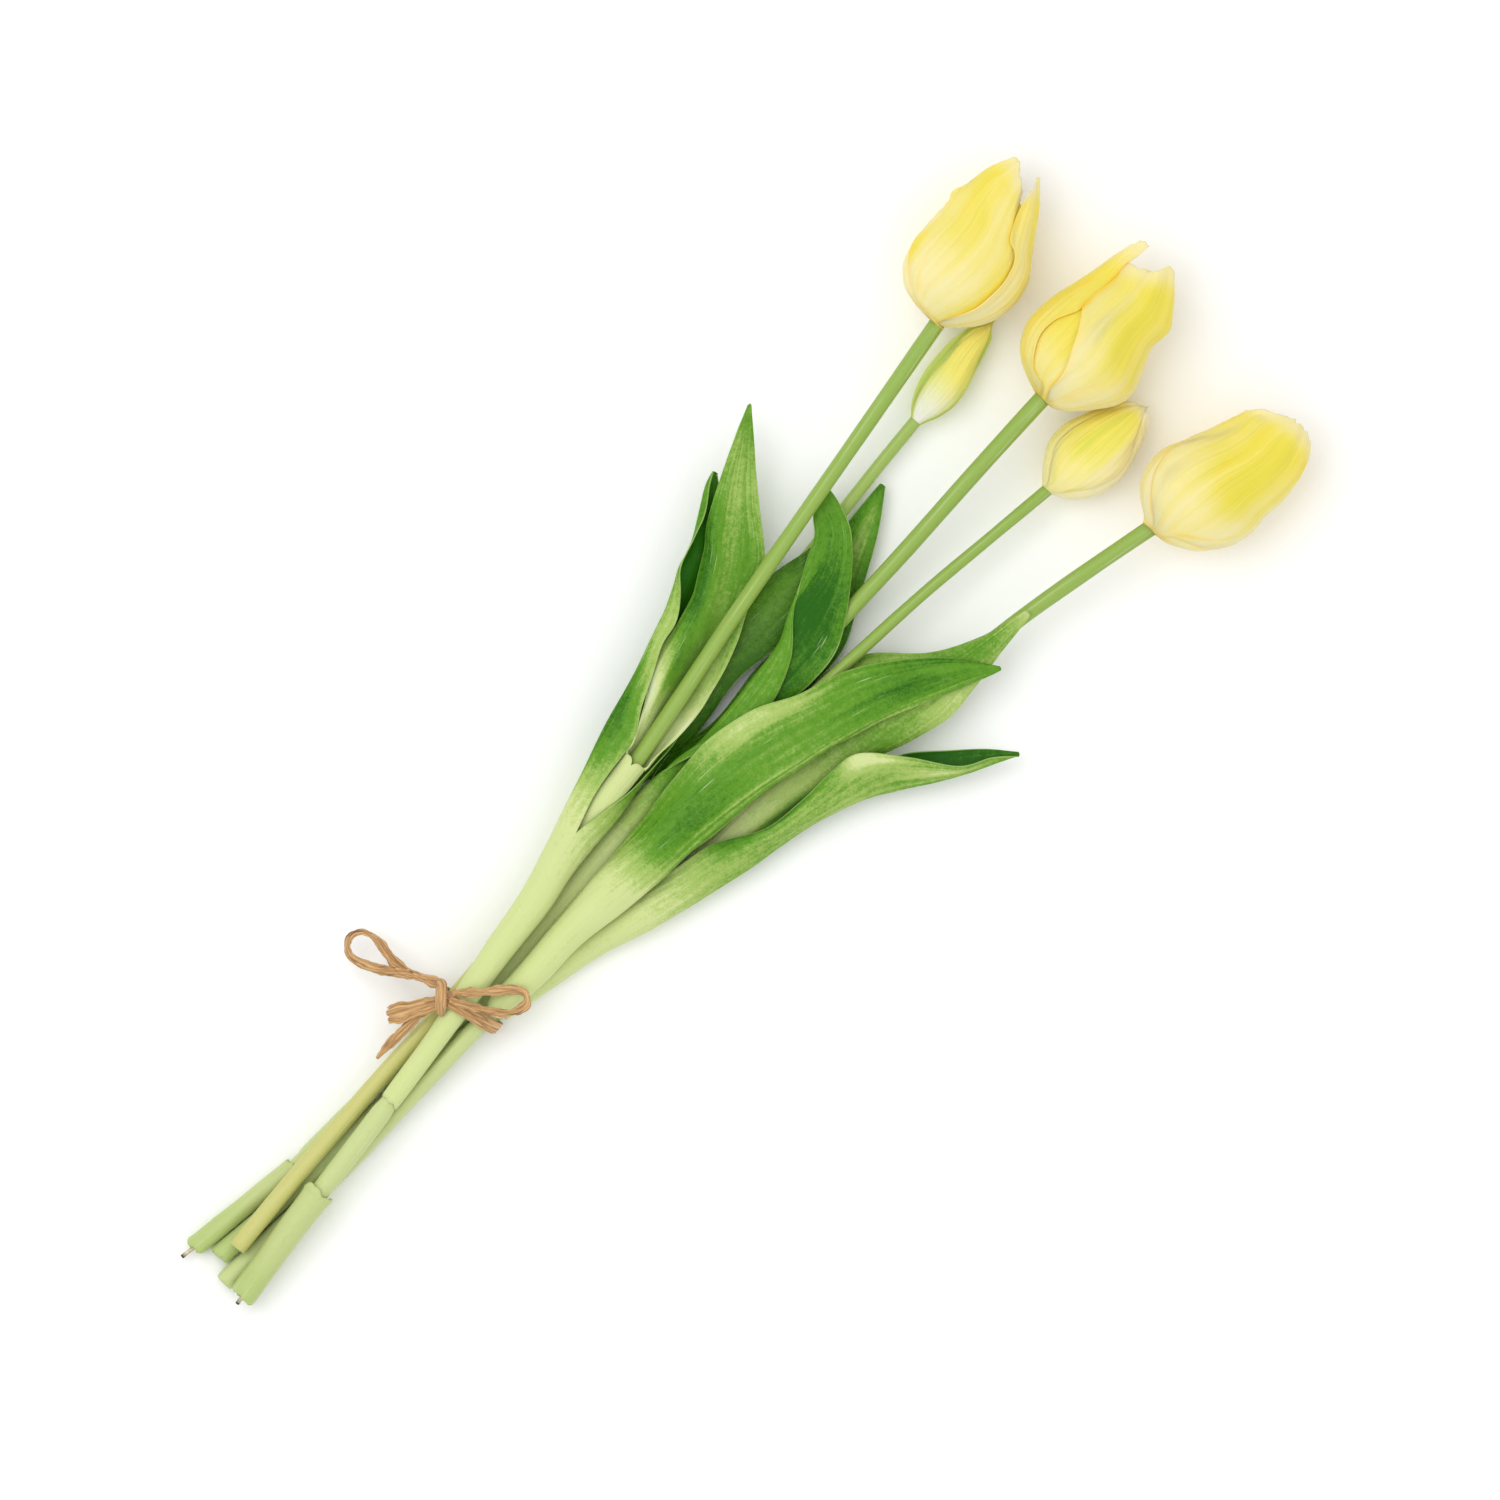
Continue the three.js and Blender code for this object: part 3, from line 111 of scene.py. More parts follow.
LEAF_5 = [
  [80, 13.7, 5.9, 3], [89, 14.4, 5.9, 3], [97, 18.5, 3.4, 18.3, 7.2, 15, 9.3, 11.2, 6.9, 9.8, 3.6],
  [105, 19.6, 4.6, 18.8, 7.8, 15.6, 9.4, 12.4, 7.6, 10, 4.4],
  [120, 23, 4.6, 21.8, 8.4, 17, 10, 12.4, 9.4, 9, 7.6],
  [140, 26, 5, 24.4, 9, 19.5, 10.8, 15, 10.6, 11.2, 9.8],
  [157, 27.4, 7, 25, 10.2, 19.5, 12, 13.8, 11.6, 9, 10.8],
  [173, 26.8, 8.6, 24, 10.8, 18.5, 12.2, 13.5, 11.8, 9.5, 11],
  [187, 23.7, 10.4, 21.9, 10.9, 18.8, 11.4, 15.8, 11.2, 13, 10.8],
  [199, 22.6, 10.9, 199.3, 22.2, 10.9, 199.6, 21.6, 10.9, 199.4, 21, 10.9, 199, 20.6, 10.9],
]

LEAF_6 = [
  [3.6, -4.5, 12.6, 3.1], [9, -4.9, 13.1, 3.8], [22, -5.7, 14.5, 4.7], [40, -5.3, 14.9, 5.4],
  [60, 1.2, 13, 0, 18.2, -7, 21, -13.6, 17.5, -12.6, 13.6],
  [80, 2, 15, -3, 19.3, -10.2, 20.8, -15.4, 18.4, -16, 15],
  [100, 4.2, 16.6, -4, 19.8, -12.6, 20.6, -17, 18.6, -18.2, 16.4],
  [118, 4.6, 18.6, -5.5, 20.8, -16, 20.8, -19.5, 19.6, -20.6, 18],
  [135, 1, 19.2, -9, 21.2, -20.5, 21.2, -23.5, 20.2, -24.8, 18.8],
  [150, -7, 18.8, -15, 20.9, -25, 21, -27.6, 20.2, -28.9, 19.1],
  [166, -12.8, 18.2, 167, -21, 20, 168.5, -31.5, 20.4, 168.7, -33.9, 19.8, 168.5, -35.6, 19],
  [181, -23.3, 18, 182, -30, 19.2, 183.5, -38.3, 19.4, 184, -41, 19, 184, -43, 18.4],
  [192.5, -34.6, 18.4, 193.3, -39, 19.4, 194.5, -44, 19.4, 194.8, -46, 19, 195, -48, 18.4],
  [203, -49.6, 18.6, 203, -50, 18.6, 202.9, -50.4, 18.5, 202.6, -50.7, 18.4, 202.1, -50.9, 18.3],
]

LEAF_7 = [
  [58, -17, 6.4, 3.3], [80, -20.4, 6.6, 3.3],
  [88, -17.6, 4.2, -18, 8.6, -21.9, 10.4, -25.8, 8.2, -26, 4.2],
  [98, -17.7, 6, -18.8, 9.2, -23.2, 10.6, -27.4, 8.8, -28, 5.8],
  [115, -12.5, 7, -17.6, 11, -25, 12.4, -31, 10.6, -34, 7.4],
  [135, -9.4, 7, -18.4, 11.8, -28, 13.8, -35, 12.2, -38.5, 9],
  [152, -8.6, 6.8, -19, 12.4, -31, 14.8, -37.4, 13.6, -40.6, 11.6],
  [165, -9.6, 7.2, -20, 12.6, -33, 15.6, -41, 14.6, -45.3, 13],
  [177, -15.5, 9, 178, -26, 14, 179, -37, 16.5, 179, -44, 15.6, 179, -49, 14],
  [191, -30, 13.6, 191.5, -35, 15.8, 192, -40, 16.6, 192, -44.5, 16, 192, -48.5, 14.8],
  [206, -38.4, 16.8, -39.8, 17.8, -42.2, 18.2, -44.8, 17.6, -47, 16.2],
  [222.3, -43.2, 19.3, 222.6, -43.8, 19.4, 222.8, -44.3, 19.4, 222.7, -45, 19.3, 222.3, -45.7,
   19.1],
]

LEAF_8 = [
  [5, -6.7, 4.5, 3.1], [25, -9.9, 4.9, 4.1], [42, -13.3, 5.4, 4.7], [60, -18.4, 7, 6.1],
  [80, -16.6, 12.4, -24.4, 13.4, -30.2, 8, -25, 1.9, -17.4, 1.6],
  [95, -20.3, 13.2, -28, 14.2, -34, 9, -30, 3, -21.5, 1.8],
  [110, -29.5, 14.6, -33.5, 13.4, -37, 8.6, -33.5, 3.6, -26, 2.2],
  [125, -31.8, 16, -37.5, 14.2, -41.2, 9.2, -38.5, 4.6, -31, 3.2],
  [140, -32.7, 17.2, -41, 15.2, -46.8, 10, -44.4, 5.6, -37, 4.2],
  [150, -35.3, 17.6, -45, 15.8, -53, 10.6, -50, 7, -43, 5.8],
  [160, -48, 17.2, -54.5, 15, -60, 11.2, -54, 8, -46.3, 8],
  [169, -62.5, 15.6, 169.5, -64, 14, 170, -66, 11.8, 171, -60.8, 9.8, 171.5, -57, 9.8],
  [179, -68.4, 13.6, 179, -69.4, 12.8, 179, -70.8, 11.8, 179.5, -68, 10.8, 180, -65.4, 10.8],
  [185.4, -75, 11.6, 185.8, -74.9, 11.4, 186.2, -74.6, 11.2, 186.4, -74.1, 11, 186.3, -73.6, 10.9],
]

STEM_1 = [
  [-122.6, -8.3, 9, 3.2], [-110, -6.6, 10.6, 3.2], [-100, -5.4, 11.6, 3.2], [-79, -3.4, 13, 3.3],
  [-62, -2, 14.2, 3.5], [-47, -0.5, 15.1, 3.5], [-40, 0.3, 15.4, 2.75], [-20, 2.6, 15.7, 2.75],
  [0, 5.2, 15.9, 2.75], [20, 7.9, 16, 2.75], [40, 10.2, 16, 2.75], [66, 13.4, 16.3, 2.7],
  [95, 16.9, 17, 2.65], [112, 19.4, 17.7, 2.65], [130, 22.3, 18.2, 2.65], [150, 25.6, 18.9, 2.65],
  [175, 29.4, 19.6, 2.65], [200, 33, 20.4, 2.6], [235, 38, 21, 2.65], [271.6, 43.3, 20.6, 2.75],
]

STEM_2 = [
  [-112.4, 4, 11, 3], [-80, 5.9, 10.8, 3], [-60, 6.7, 10.2, 3], [-40, 7.5, 9.6, 3],
  [-20, 7.9, 9, 2.9], [0, 8.3, 8.6, 2.7], [20, 9.4, 7.6, 2.5], [40, 11, 6.8, 2.4],
  [66, 12.7, 5.9, 2.3], [85, 14.1, 5.9, 2.2], [98, 15, 5.9, 2.2], [130, 17.4, 6, 2.2],
  [160, 20, 6.5, 2.2], [190, 22.6, 7, 2.1], [207, 24, 7.3, 2.1], [225, 25.4, 7.7, 2.1],
  [244, 26.6, 8.1, 2.1],
]

STEM_3 = [
  [-121.8, 14.6, 4, 2.4], [-110, 12.9, 3.9, 2.3], [-95, 10.9, 3.7, 2.1], [-78, 8.9, 3.4, 1.9],
  [-70, 8.4, 3.3, 2.5], [-40, 6.9, 3.6, 2.7], [-20, 4.6, 4, 2.9], [0, 1.4, 4.5, 3.1],
  [10, 1.2, 4.6, 2.9], [22, 1.8, 4.9, 2.5], [40, 2.6, 5.3, 2.5], [60, 3.6, 6, 2.4],
  [79, 4.4, 6.8, 2], [92, 4.5, 7.2, 2.2], [102, 4.1, 7.8, 2.6], [124, 2.2, 9, 2.7],
  [145, 0.6, 10.6, 2.7], [165, -0.3, 11.8, 2.7], [185, -0.5, 12.9, 2.7], [210, -0.4, 14.6, 2.75],
  [245, 0.4, 18, 2.8], [277.6, 0.8, 21.6, 2.9],
]

STEM_4 = [
  [-124.2, -0.75, 3.9, 3], [-121, -0.9, 3.9, 3.5], [-110, -1.75, 3.8, 3.45], [-98, -2.2, 3.6, 3.2],
  [-79, -3.5, 3.5, 2.9], [-62, -4, 5.4, 2.9], [-45, -4, 7.8, 2.9], [-20, -4.2, 10.3, 2.9],
  [0, -4.3, 12.2, 2.9], [10, -4.9, 13.2, 2.7], [22, -5.7, 14.4, 2.6], [40, -5.3, 14.9, 2.4],
  [60, -6.2, 15, 2.3], [90, -7, 14.8, 2.2], [120, -8, 14.2, 2.1], [155, -10.7, 13.4, 2.1],
  [200, -14.3, 12.8, 2], [230, -17.9, 12.2, 2], [257.1, -21.3, 11.8, 2.1],
]

STEM_5 = [
  [-118.2, 6.8, 4.1, 2.4], [-109, 5.2, 3.9, 2.6], [-98, 3.9, 3.6, 2.6], [-88, 3.4, 3.4, 2.7],
  [-79, 2.8, 3.3, 2.7], [-62, 1.9, 3.3, 2.7], [-40, 0.8, 3.6, 2.7], [-20, -1.6, 4, 2.7],
  [0, -4.8, 4.5, 2.8], [10, -7.4, 4.6, 2.6], [25, -9.9, 4.9, 2.6], [42, -13.2, 5.3, 2.6],
  [58, -17, 6.4, 2.4], [80, -20.4, 6.6, 2.4], [90, -22.2, 6.8, 2.5], [100, -24, 7, 2.6],
  [125, -29, 7.9, 2.7], [150, -33.4, 9.2, 2.7], [180, -38, 11.4, 2.7], [203, -41.4, 13.2, 2.65],
  [223, -44.6, 15.4, 2.65], [247, -49.6, 17.6, 2.7], [269.9, -54.8, 19.4, 2.75],
]

BLOOM_1 = [
  [272.4, 47.6, 19.9, 5.6, 5.2], [274, 49.6, 19.9, 9.6, 9.2], [277, 50, 19.8, 13.2, 12.9],
  [281, 49.6, 19.7, 16.4, 16.2], [287, 48.7, 19.6, 18.7, 18.6], [295, 48.3, 19.6, 19.2, 19],
  [303, 49.1, 19.6, 18.1, 17.8], [310, 51.7, 19.7, 15.9, 15.6], [317, 53.8, 19.9, 13.3, 12.8],
  [324, 55.2, 20, 9.9, 9.6], [330.5, 56.8, 20, 5.4, 5.2],
]

BLOOM_2 = [
  [278.4, 0.4, 21.8, 4.6, 4.4], [280.4, 1.2, 22, 9, 8.6], [283.6, 2.2, 22.3, 13.4, 12.8],
  [288, 2.2, 22.6, 17.2, 16.2], [294, 1.3, 22.8, 20.4, 18.6], [300, 1, 23, 20.8, 19.4],
  [307, 1.8, 23, 19, 18], [314, 1.9, 23, 17, 16], [322, 1.3, 22.8, 15.6, 13.6],
  [330, 2.6, 22.6, 12.8, 10.6], [338.5, 5, 22.2, 8.2, 7.4],
]

BLOOM_3 = [
  [271.2, -57, 19.6, 5, 5], [273, -58.4, 19.7, 8, 7.9], [276, -58.7, 19.7, 12.7, 12.4],
  [280, -58.6, 19.7, 16.4, 16], [286, -59.2, 19.7, 19.2, 18.6], [293, -60.2, 19.8, 20, 19.2],
  [300, -61.6, 19.8, 18.2, 18], [308, -64.1, 19.8, 16.2, 15.8], [315, -65.2, 19.8, 15, 14],
  [321, -65, 19.8, 13.6, 12], [326, -65.2, 19.8, 11, 9.6], [330, -65.4, 19.8, 7, 6],
]

BUD_1 = [
  [244.5, 26.7, 8.1, 2.2, 2.2], [247, 27.2, 8.1, 3.8, 3.7], [251, 27.5, 8.1, 5.8, 5.6],
  [257, 27.9, 8.1, 7.3, 7.1], [264, 28.8, 8.1, 7.2, 7.1], [271, 30, 8.1, 6, 5.9],
  [278, 30.5, 8.1, 4.3, 4.2], [283, 30.3, 8.1, 2.4, 2.4], [287, 30.3, 8.1, 0.9, 0.9],
]

BUD_2 = [
  [257.6, -21.4, 11.6, 2.6, 2.6], [260, -22.6, 11.4, 6, 5.6], [264, -23, 11.2, 9.6, 8.6],
  [270, -23.1, 11.1, 12.5, 10.6], [277, -23.6, 11, 12.8, 10.8], [284, -24.2, 11, 11, 10],
  [290, -24.8, 11, 8.6, 8], [295, -25.2, 11.1, 5.8, 5.3], [298, -25.7, 11.2, 3.7, 3.4],
  [299.9, -26.9, 11.2, 1.4, 1.4],
]

BAND = [
  [-3.8, 11.2, 15.4], [-3.4, 9, 20], [-2.6, 4.6, 21.8], [-1.8, -0.2, 20], [-0.8, -5.4, 16.6],
  [0.2, -9, 13], [0.6, -9.8, 7.6], [0.6, -9, 2.6], [0, -5.6, 0.4], [-0.6, 0, 0.4],
  [-1.4, 4.6, 0.4], [-2.6, 9.4, 3.2], [-3.4, 12.2, 8.6],
]


def spline(values, positions):
    """Catmull-Rom values of a list at positions between its entries."""
    v = np.asarray(values, float)
    last = len(v) - 1
    p = np.clip(np.atleast_1d(np.asarray(positions, float)), 0, last)
    i = np.minimum(np.floor(p).astype(int), last - 1)
    t = (p - i).reshape((-1,) + (1,) * (v.ndim - 1))
    a, b, c, d = v[np.maximum(i - 1, 0)], v[i], v[i + 1], v[np.minimum(i + 2, last)]
    return 0.5 * (2 * b + (c - a) * t + (2 * a - 5 * b + 4 * c - d) * t ** 2
                  + (3 * b - a - 3 * c + d) * t ** 3)


def dense(stations, per_span):
    """The spline through stations in per_span steps from each one to the next."""
    spans = len(stations) - 1
    return spline(stations, np.linspace(0, spans, spans * per_span + 1))


def lengths(points):
    """Distance along a row of points from its start."""
    return np.concatenate([[0], np.cumsum(np.linalg.norm(np.diff(points, axis=0), axis=1))])


def smooth(low, high, x):
    """Soft step of x from 0 at low to 1 at high."""
    t = np.clip((np.asarray(x, float) - low) / (high - low), 0, 1)
    return t * t * (3 - 2 * t)


def ripple(seed, a, b, count=6):
    """Smooth seeded noise of two coordinates, about -1 to 1, with a period of about 1."""
    rng = np.random.default_rng(seed)
    total = 0
    for k in range(count):
        fa, fb = rng.uniform(-1.3, 1.3, 2)
        phase = rng.uniform(0, 2 * math.pi)
        total = total + np.sin(2 * math.pi * (fa * a + fb * b) + phase)
    return total / math.sqrt(count)


def bell(x, y, px, py, sx, sy):
    """Soft spot of height 1 about px, py that fades over sx and sy."""
    return np.exp(-((x - px) / sx) ** 2 - ((y - py) / sy) ** 2)


def unit(v):
    return v / np.maximum(np.linalg.norm(v, axis=-1, keepdims=True), TINY)


class Shape:
    """Gathers vertices, faces, UVs and vertex attributes, and makes one mesh object."""

    def __init__(self):
        self.points, self.attributes, self.quads, self.uvs = [], [], [], []
        self.count = 0

    def add(self, points, attributes, faces, uvs):
        self.points.append(points.reshape(-1, 3))
        self.attributes.append(attributes.reshape(len(points.reshape(-1, 3)), -1))
        self.quads.append(np.asarray(faces, int) + self.count)
        self.uvs.append(np.asarray(uvs, float))
        self.count += len(points.reshape(-1, 3))

    def make(self, node, material, names=("tone", "edge", "side")):
        name = "look_" + node
        points = np.concatenate(self.points)
        attributes = np.concatenate(self.attributes)
        faces, uvs = np.concatenate(self.quads), np.concatenate(self.uvs)
        used, inverse = np.unique(faces.ravel(), return_inverse=True)
        faces = inverse.reshape(faces.shape)
        points, attributes = points[used], attributes[used]
        loops, starts, corner = [], [], []
        for f, uv in zip(faces, uvs):
            keep = [k for k in range(4) if f[k] != f[k - 1]]
            if len(keep) < 3:
                continue
            starts.append(len(loops))
            loops.extend(f[k] for k in keep)
            corner.extend(uv[k] for k in keep)
        mesh = bpy.data.meshes.new(name)
        mesh.vertices.add(len(points))
        mesh.vertices.foreach_set("co", (points * METRES).astype(np.float32).ravel())
        mesh.loops.add(len(loops))
        mesh.loops.foreach_set("vertex_index", np.array(loops, np.int32))
        mesh.polygons.add(len(starts))
        mesh.polygons.foreach_set("loop_start", np.array(starts, np.int32))
        mesh.polygons.foreach_set("use_smooth", np.ones(len(starts), bool))
        mesh.update(calc_edges=True)
        layer = mesh.uv_layers.new(name="UVMap")
        layer.data.foreach_set("uv", np.array(corner, np.float32).ravel())
        for k, key in enumerate(names):
            item = mesh.attributes.new(key, "FLOAT", "POINT")
            item.data.foreach_set("value", attributes[:, k].astype(np.float32))
        mesh.validate()
        mesh.materials.append(material)
        obj = bpy.data.objects.new(name, mesh)
        bpy.context.scene.collection.objects.link(obj)
        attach(obj, "root")
        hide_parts(node)


HERE, NEXT = slice(0, -1), slice(1, None)
FRONT = ((HERE, HERE), (HERE, NEXT), (NEXT, NEXT), (NEXT, HERE))
BACK = (FRONT[0], FRONT[3], FRONT[2], FRONT[1])


def corners(table, order):
    """The four corners of every cell of a grid, in the order of its face."""
    cells = np.stack([table[place] for place in order], 2)
    return cells.reshape((-1,) + cells.shape[2:])


def grid_normals(p, closed_rows=0):
    across = np.gradient(p, axis=1)
    if closed_rows:
        across[:closed_rows, 0] = across[:closed_rows, -1] = (
            p[:closed_rows, 1] - p[:closed_rows, -2]) / 2
    along = np.gradient(p, axis=0)
    return unit(np.cross(across, along))


def add_sheet(shape, p, thickness, attributes, uv, closed_rows=0):
    """Closed thin sheet about the grid p of middle points, joined round in its first rows."""
    rows, columns = p.shape[:2]
    n = grid_normals(p, closed_rows)
    half = (thickness / 2)[..., None]
    side = np.ones((rows, columns, 1))
    index = np.arange(rows * columns).reshape(rows, columns)
    if closed_rows:
        index[:closed_rows, -1] = index[:closed_rows, 0]
    inner = index + rows * columns
    points = np.concatenate([(p + n * half).reshape(-1, 3), (p - n * half).reshape(-1, 3)])
    over, under = attributes if isinstance(attributes, tuple) else (attributes, attributes)
    attr = np.concatenate([np.concatenate([over, side], 2).reshape(rows * columns, -1),
                           np.concatenate([under, -side], 2).reshape(rows * columns, -1)])
    faces = [corners(index, FRONT), corners(inner, BACK)]
    maps = [corners(uv, FRONT), corners(uv, BACK)]
    start = max(closed_rows - 1, 0)
    rims = [((slice(start, -1), col), (slice(start + 1, None), col), step)
            for col, step in ((0, 1), (columns - 1, -1))]
    rims += [((row, HERE), (row, NEXT), step) for row, step in ((0, -1), (rows - 1, 1))]
    for a, b, step in rims:
        faces.append(np.stack([index[a], index[b], inner[b], inner[a]], 1)[:, ::step])
        maps.append(np.stack([uv[a], uv[b], uv[b], uv[a]], 1)[:, ::step])
    shape.add(points, attr, np.concatenate(faces), np.concatenate(maps))


HOLE_DEPTH = 4.0
POINT = 0.01  # radius of the ring that closes an end


def add_bar(shape, centre, radius, sides, tone, v, hole=0.0):
    """Round bar along centre points with rounded end rims, and a hole at its start if asked."""
    along = unit(np.gradient(centre, axis=0))
    side = unit(np.cross([0, 0, 1.0], along))
    up = np.cross(along, side)
    rings = [(centre[i], side[i], up[i], radius[i], tone[i], v[i]) for i in range(len(centre))]
    first, last = rings[0], rings[-1]

    def moved(ring, direction, distance, r):
        return (ring[0] + direction * distance, ring[1], ring[2], r, ring[4], ring[5])

    r0, d0 = first[3], along[0]
    if hole:
        front = [moved(first, d0, HOLE_DEPTH, POINT), moved(first, d0, HOLE_DEPTH, hole),
                 moved(first, d0, 0.05, hole)]
    else:
        front = [moved(first, -d0, 0.05, POINT), moved(first, -d0, 0.05, r0 * 0.5)]
    front.append(moved(first, -d0, 0.0, r0 * 0.9))
    first = moved(first, d0, 0.35, r0)
    r1, d1 = last[3], along[-1]
    end = [moved(last, -d1, 0.3, r1), moved(last, d1, 0.0, r1 * 0.9), moved(last, d1, 0.0, POINT)]
    rings = front + [first] + rings[1:-1] + end
    a = np.linspace(0, 2 * math.pi, sides + 1)
    points, attr, uv = [], [], []
    for c, s, u, r, t, vv in rings:
        points.append(c + (np.cos(a)[:, None] * s + np.sin(a)[:, None] * u) * r)
        attr.append(np.stack([np.full(sides + 1, t), np.zeros(sides + 1),
                              np.full(sides + 1, 1.0)], 1))
        uv.append(np.stack([a / (2 * math.pi), np.full(sides + 1, vv)], 1))
    points, attr, uv = np.array(points), np.array(attr), np.array(uv)
    rows, columns = points.shape[:2]
    index = np.arange(rows * columns).reshape(rows, columns)
    index[:, -1] = index[:, 0]
    shape.add(points, attr, corners(index, FRONT), corners(uv, FRONT))


# Materials. Colours are display values from 0 to 255.

def colour(r, g, b):
    """Linear colour from 0-255 display values."""
    return tuple((c / 255 / 12.92 if c / 255 <= 0.04045 else ((c / 255 + 0.055) / 1.055) ** 2.4)
                 for c in (r, g, b)) + (1.0,)


class Nodes:
    """Small helper to build a node tree."""

    def __init__(self, name):
        self.material = bpy.data.materials.new(name)
        self.material.use_nodes = True
        self.tree = self.material.node_tree
        self.tree.nodes.clear()
        self.bsdf = self.tree.nodes.new("ShaderNodeBsdfPrincipled")
        out = self.tree.nodes.new("ShaderNodeOutputMaterial")
        self.link(self.bsdf.outputs[0], out.inputs[0])

    def link(self, a, b):
        self.tree.links.new(a, b)

    def feed(self, socket, value):
        """Links a socket or sets its value; a colour of three numbers is in display values."""
        if hasattr(value, "is_output"):
            self.link(value, socket)
        elif socket.type == "RGBA" and len(value) == 3:
            socket.default_value = colour(*value)
        else:
            socket.default_value = value

    def node(self, kind, inputs, **settings):
        n = self.tree.nodes.new(kind)
        for key, value in settings.items():
            setattr(n, key, value)
        for key, value in inputs.items():
            self.feed(n.inputs[key], value)
        return n

    def attribute(self, name):
        return self.node("ShaderNodeAttribute", {}, attribute_name=name).outputs["Fac"]

    def math(self, operation, a, b):
        return self.node("ShaderNodeMath", {0: a, 1: b}, operation=operation).outputs[0]

    def times(self, a, b):
        return self.math("MULTIPLY", a, b)

    def varied(self, level, noise, amount):
        """A level that a noise about 0.5 raises and lowers."""
        return self.math("ADD", level, self.times(self.math("SUBTRACT", noise, 0.5), amount))

    def ranged(self, value, low, high, to_low=0.0, to_high=1.0):
        """Soft step of a value from to_low at low to to_high at high."""
        return self.node("ShaderNodeMapRange", {
            "Value": value, "From Min": low, "From Max": high, "To Min": to_low,
            "To Max": to_high}, interpolation_type="SMOOTHSTEP").outputs[0]

    def mix(self, factor, a, b, blend="MIX"):
        return self.node("ShaderNodeMix", {"Factor": factor, 6: a, 7: b}, data_type="RGBA",
                         blend_type=blend).outputs[2]

    def noise(self, vector, scale, detail=3.0, roughness=0.55):
        return self.node("ShaderNodeTexNoise", {"Vector": vector, "Scale": scale,
                         "Detail": detail, "Roughness": roughness}).outputs["Fac"]

    def along(self, u_scale, v_scale, detail, roughness=0.55):
        """Noise that runs along the piece, on its scaled UV map."""
        uv = self.node("ShaderNodeUVMap", {}, uv_map="UVMap").outputs[0]
        place = self.node("ShaderNodeMapping", {"Vector": uv, "Scale": (u_scale, v_scale, 1.0)})
        return self.noise(place.outputs[0], 1.0, detail, roughness)

    def position(self):
        return self.node("ShaderNodeTexCoord", {}).outputs["Object"]

    def bumps(self, *layers):
        """Normal from layers of height, strength and distance, one over the other."""
        normal = {}
        for height, strength, distance in layers:
            bump = self.node("ShaderNodeBump", {"Height": height, "Strength": strength,
                                                "Distance": distance, **normal})
            normal = {"Normal": bump.outputs[0]}
        return normal["Normal"]

    def set(self, **values):
        for key, value in values.items():
            self.feed(self.bsdf.inputs[key.replace("_", " ")], value)
        return self.material


GREEN_DEPTH = {"Subsurface_Weight": 0.08, "Subsurface_Radius": (0.6, 1.0, 0.3),
               "Subsurface_Scale": 0.0015}


def leaf_material(name, pale, light, mid, dark):
    """Satin coated leaf: pale sleeve sprayed with speckled green, parallel veins, painted
    highlights where the tone is below zero, pale scratch lines partly painted as highlight
    streaks.
    """
    m = Nodes(name)
    tone, edge, olive = m.attribute("tone"), m.attribute("edge"), m.attribute("olive")
    place = m.position()
    speckle = m.noise(place, 1300, 2.0, 0.7)
    grain = m.noise(place, 420, 3.0, 0.6)
    patches = m.noise(place, 60, 3.0)
    streak = m.along(22, 0.02, 3.0)
    fine = m.along(90, 0.03, 2.0)
    scratch_and_glint = m.along(60, 0.06, 1.0)
    level = tone
    for noise, amount in ((patches, 0.16), (streak, 0.44), (speckle, 0.36), (grain, 0.3)):
        level = m.varied(level, noise, amount)
    tint = m.mix(m.ranged(level, 0.02, 0.36), pale, light)
    # Painted highlight: where the tone falls below zero the leaf turns whitish, in streaks, for
    # the sheen on folds and margins.
    shine = m.times(m.ranged(tone, 0.02, -0.34), m.ranged(streak, 0.36, 0.56, 0.3, 1.0))
    tint = m.mix(shine, tint, (228, 236, 222))
    tint = m.mix(m.ranged(level, 0.32, 0.66), tint, mid)
    tint = m.mix(m.ranged(level, 0.62, 1.0), tint, dark)
    tint = m.mix(m.times(olive, 0.85), tint,
                 m.mix(m.ranged(streak, 0.35, 0.65), (98, 120, 48), (146, 164, 92)))
    # Thin pale scratch lines along the leaf, partly painted highlight streaks.
    tint = m.mix(m.ranged(scratch_and_glint, 0.70, 0.76, 0.0, 0.4), tint, (216, 228, 178))
    tint = m.mix(m.times(edge, 0.5), tint, (186, 210, 130))
    normal = m.bumps((streak, 0.3, 0.001), (fine, 0.25, 0.0003), (grain, 0.16, 0.0004))
    rough = m.ranged(grain, 0.3, 0.7, 0.34, 0.5)
    return m.set(Base_Color=tint, Roughness=rough, Normal=normal, Specular_IOR_Level=0.13,
                 **GREEN_DEPTH)


def stem_material(name, top, low):
    """Coated stem: pale below, green above, lighter runs and fine flecks."""
    m = Nodes(name)
    streak = m.along(9, 0.01, 3.0)
    fleck = m.noise(m.position(), 700, 2.0, 0.6)
    shade = m.varied(m.attribute("tone"), streak, 0.35)
    tint = m.mix(m.ranged(shade, 0.1, 0.9), low, top)
    runs = m.ranged(m.along(16, 0.02, 3.0), 0.56, 0.74, 0.0, 0.5)
    tint = m.mix(runs, tint, m.mix(0.6, tint, (226, 232, 190)))
    tint = m.mix(m.ranged(fleck, 0.5, 0.75, 0.0, 0.07), tint,
                 m.mix(1.0, tint, (150, 170, 95), "MULTIPLY"))
    normal = m.bumps((streak, 0.3, 0.0006), (fleck, 0.15, 0.0002))
    return m.set(Base_Color=tint, Roughness=0.45, Normal=normal, Specular_IOR_Level=0.4,
                 **GREEN_DEPTH)


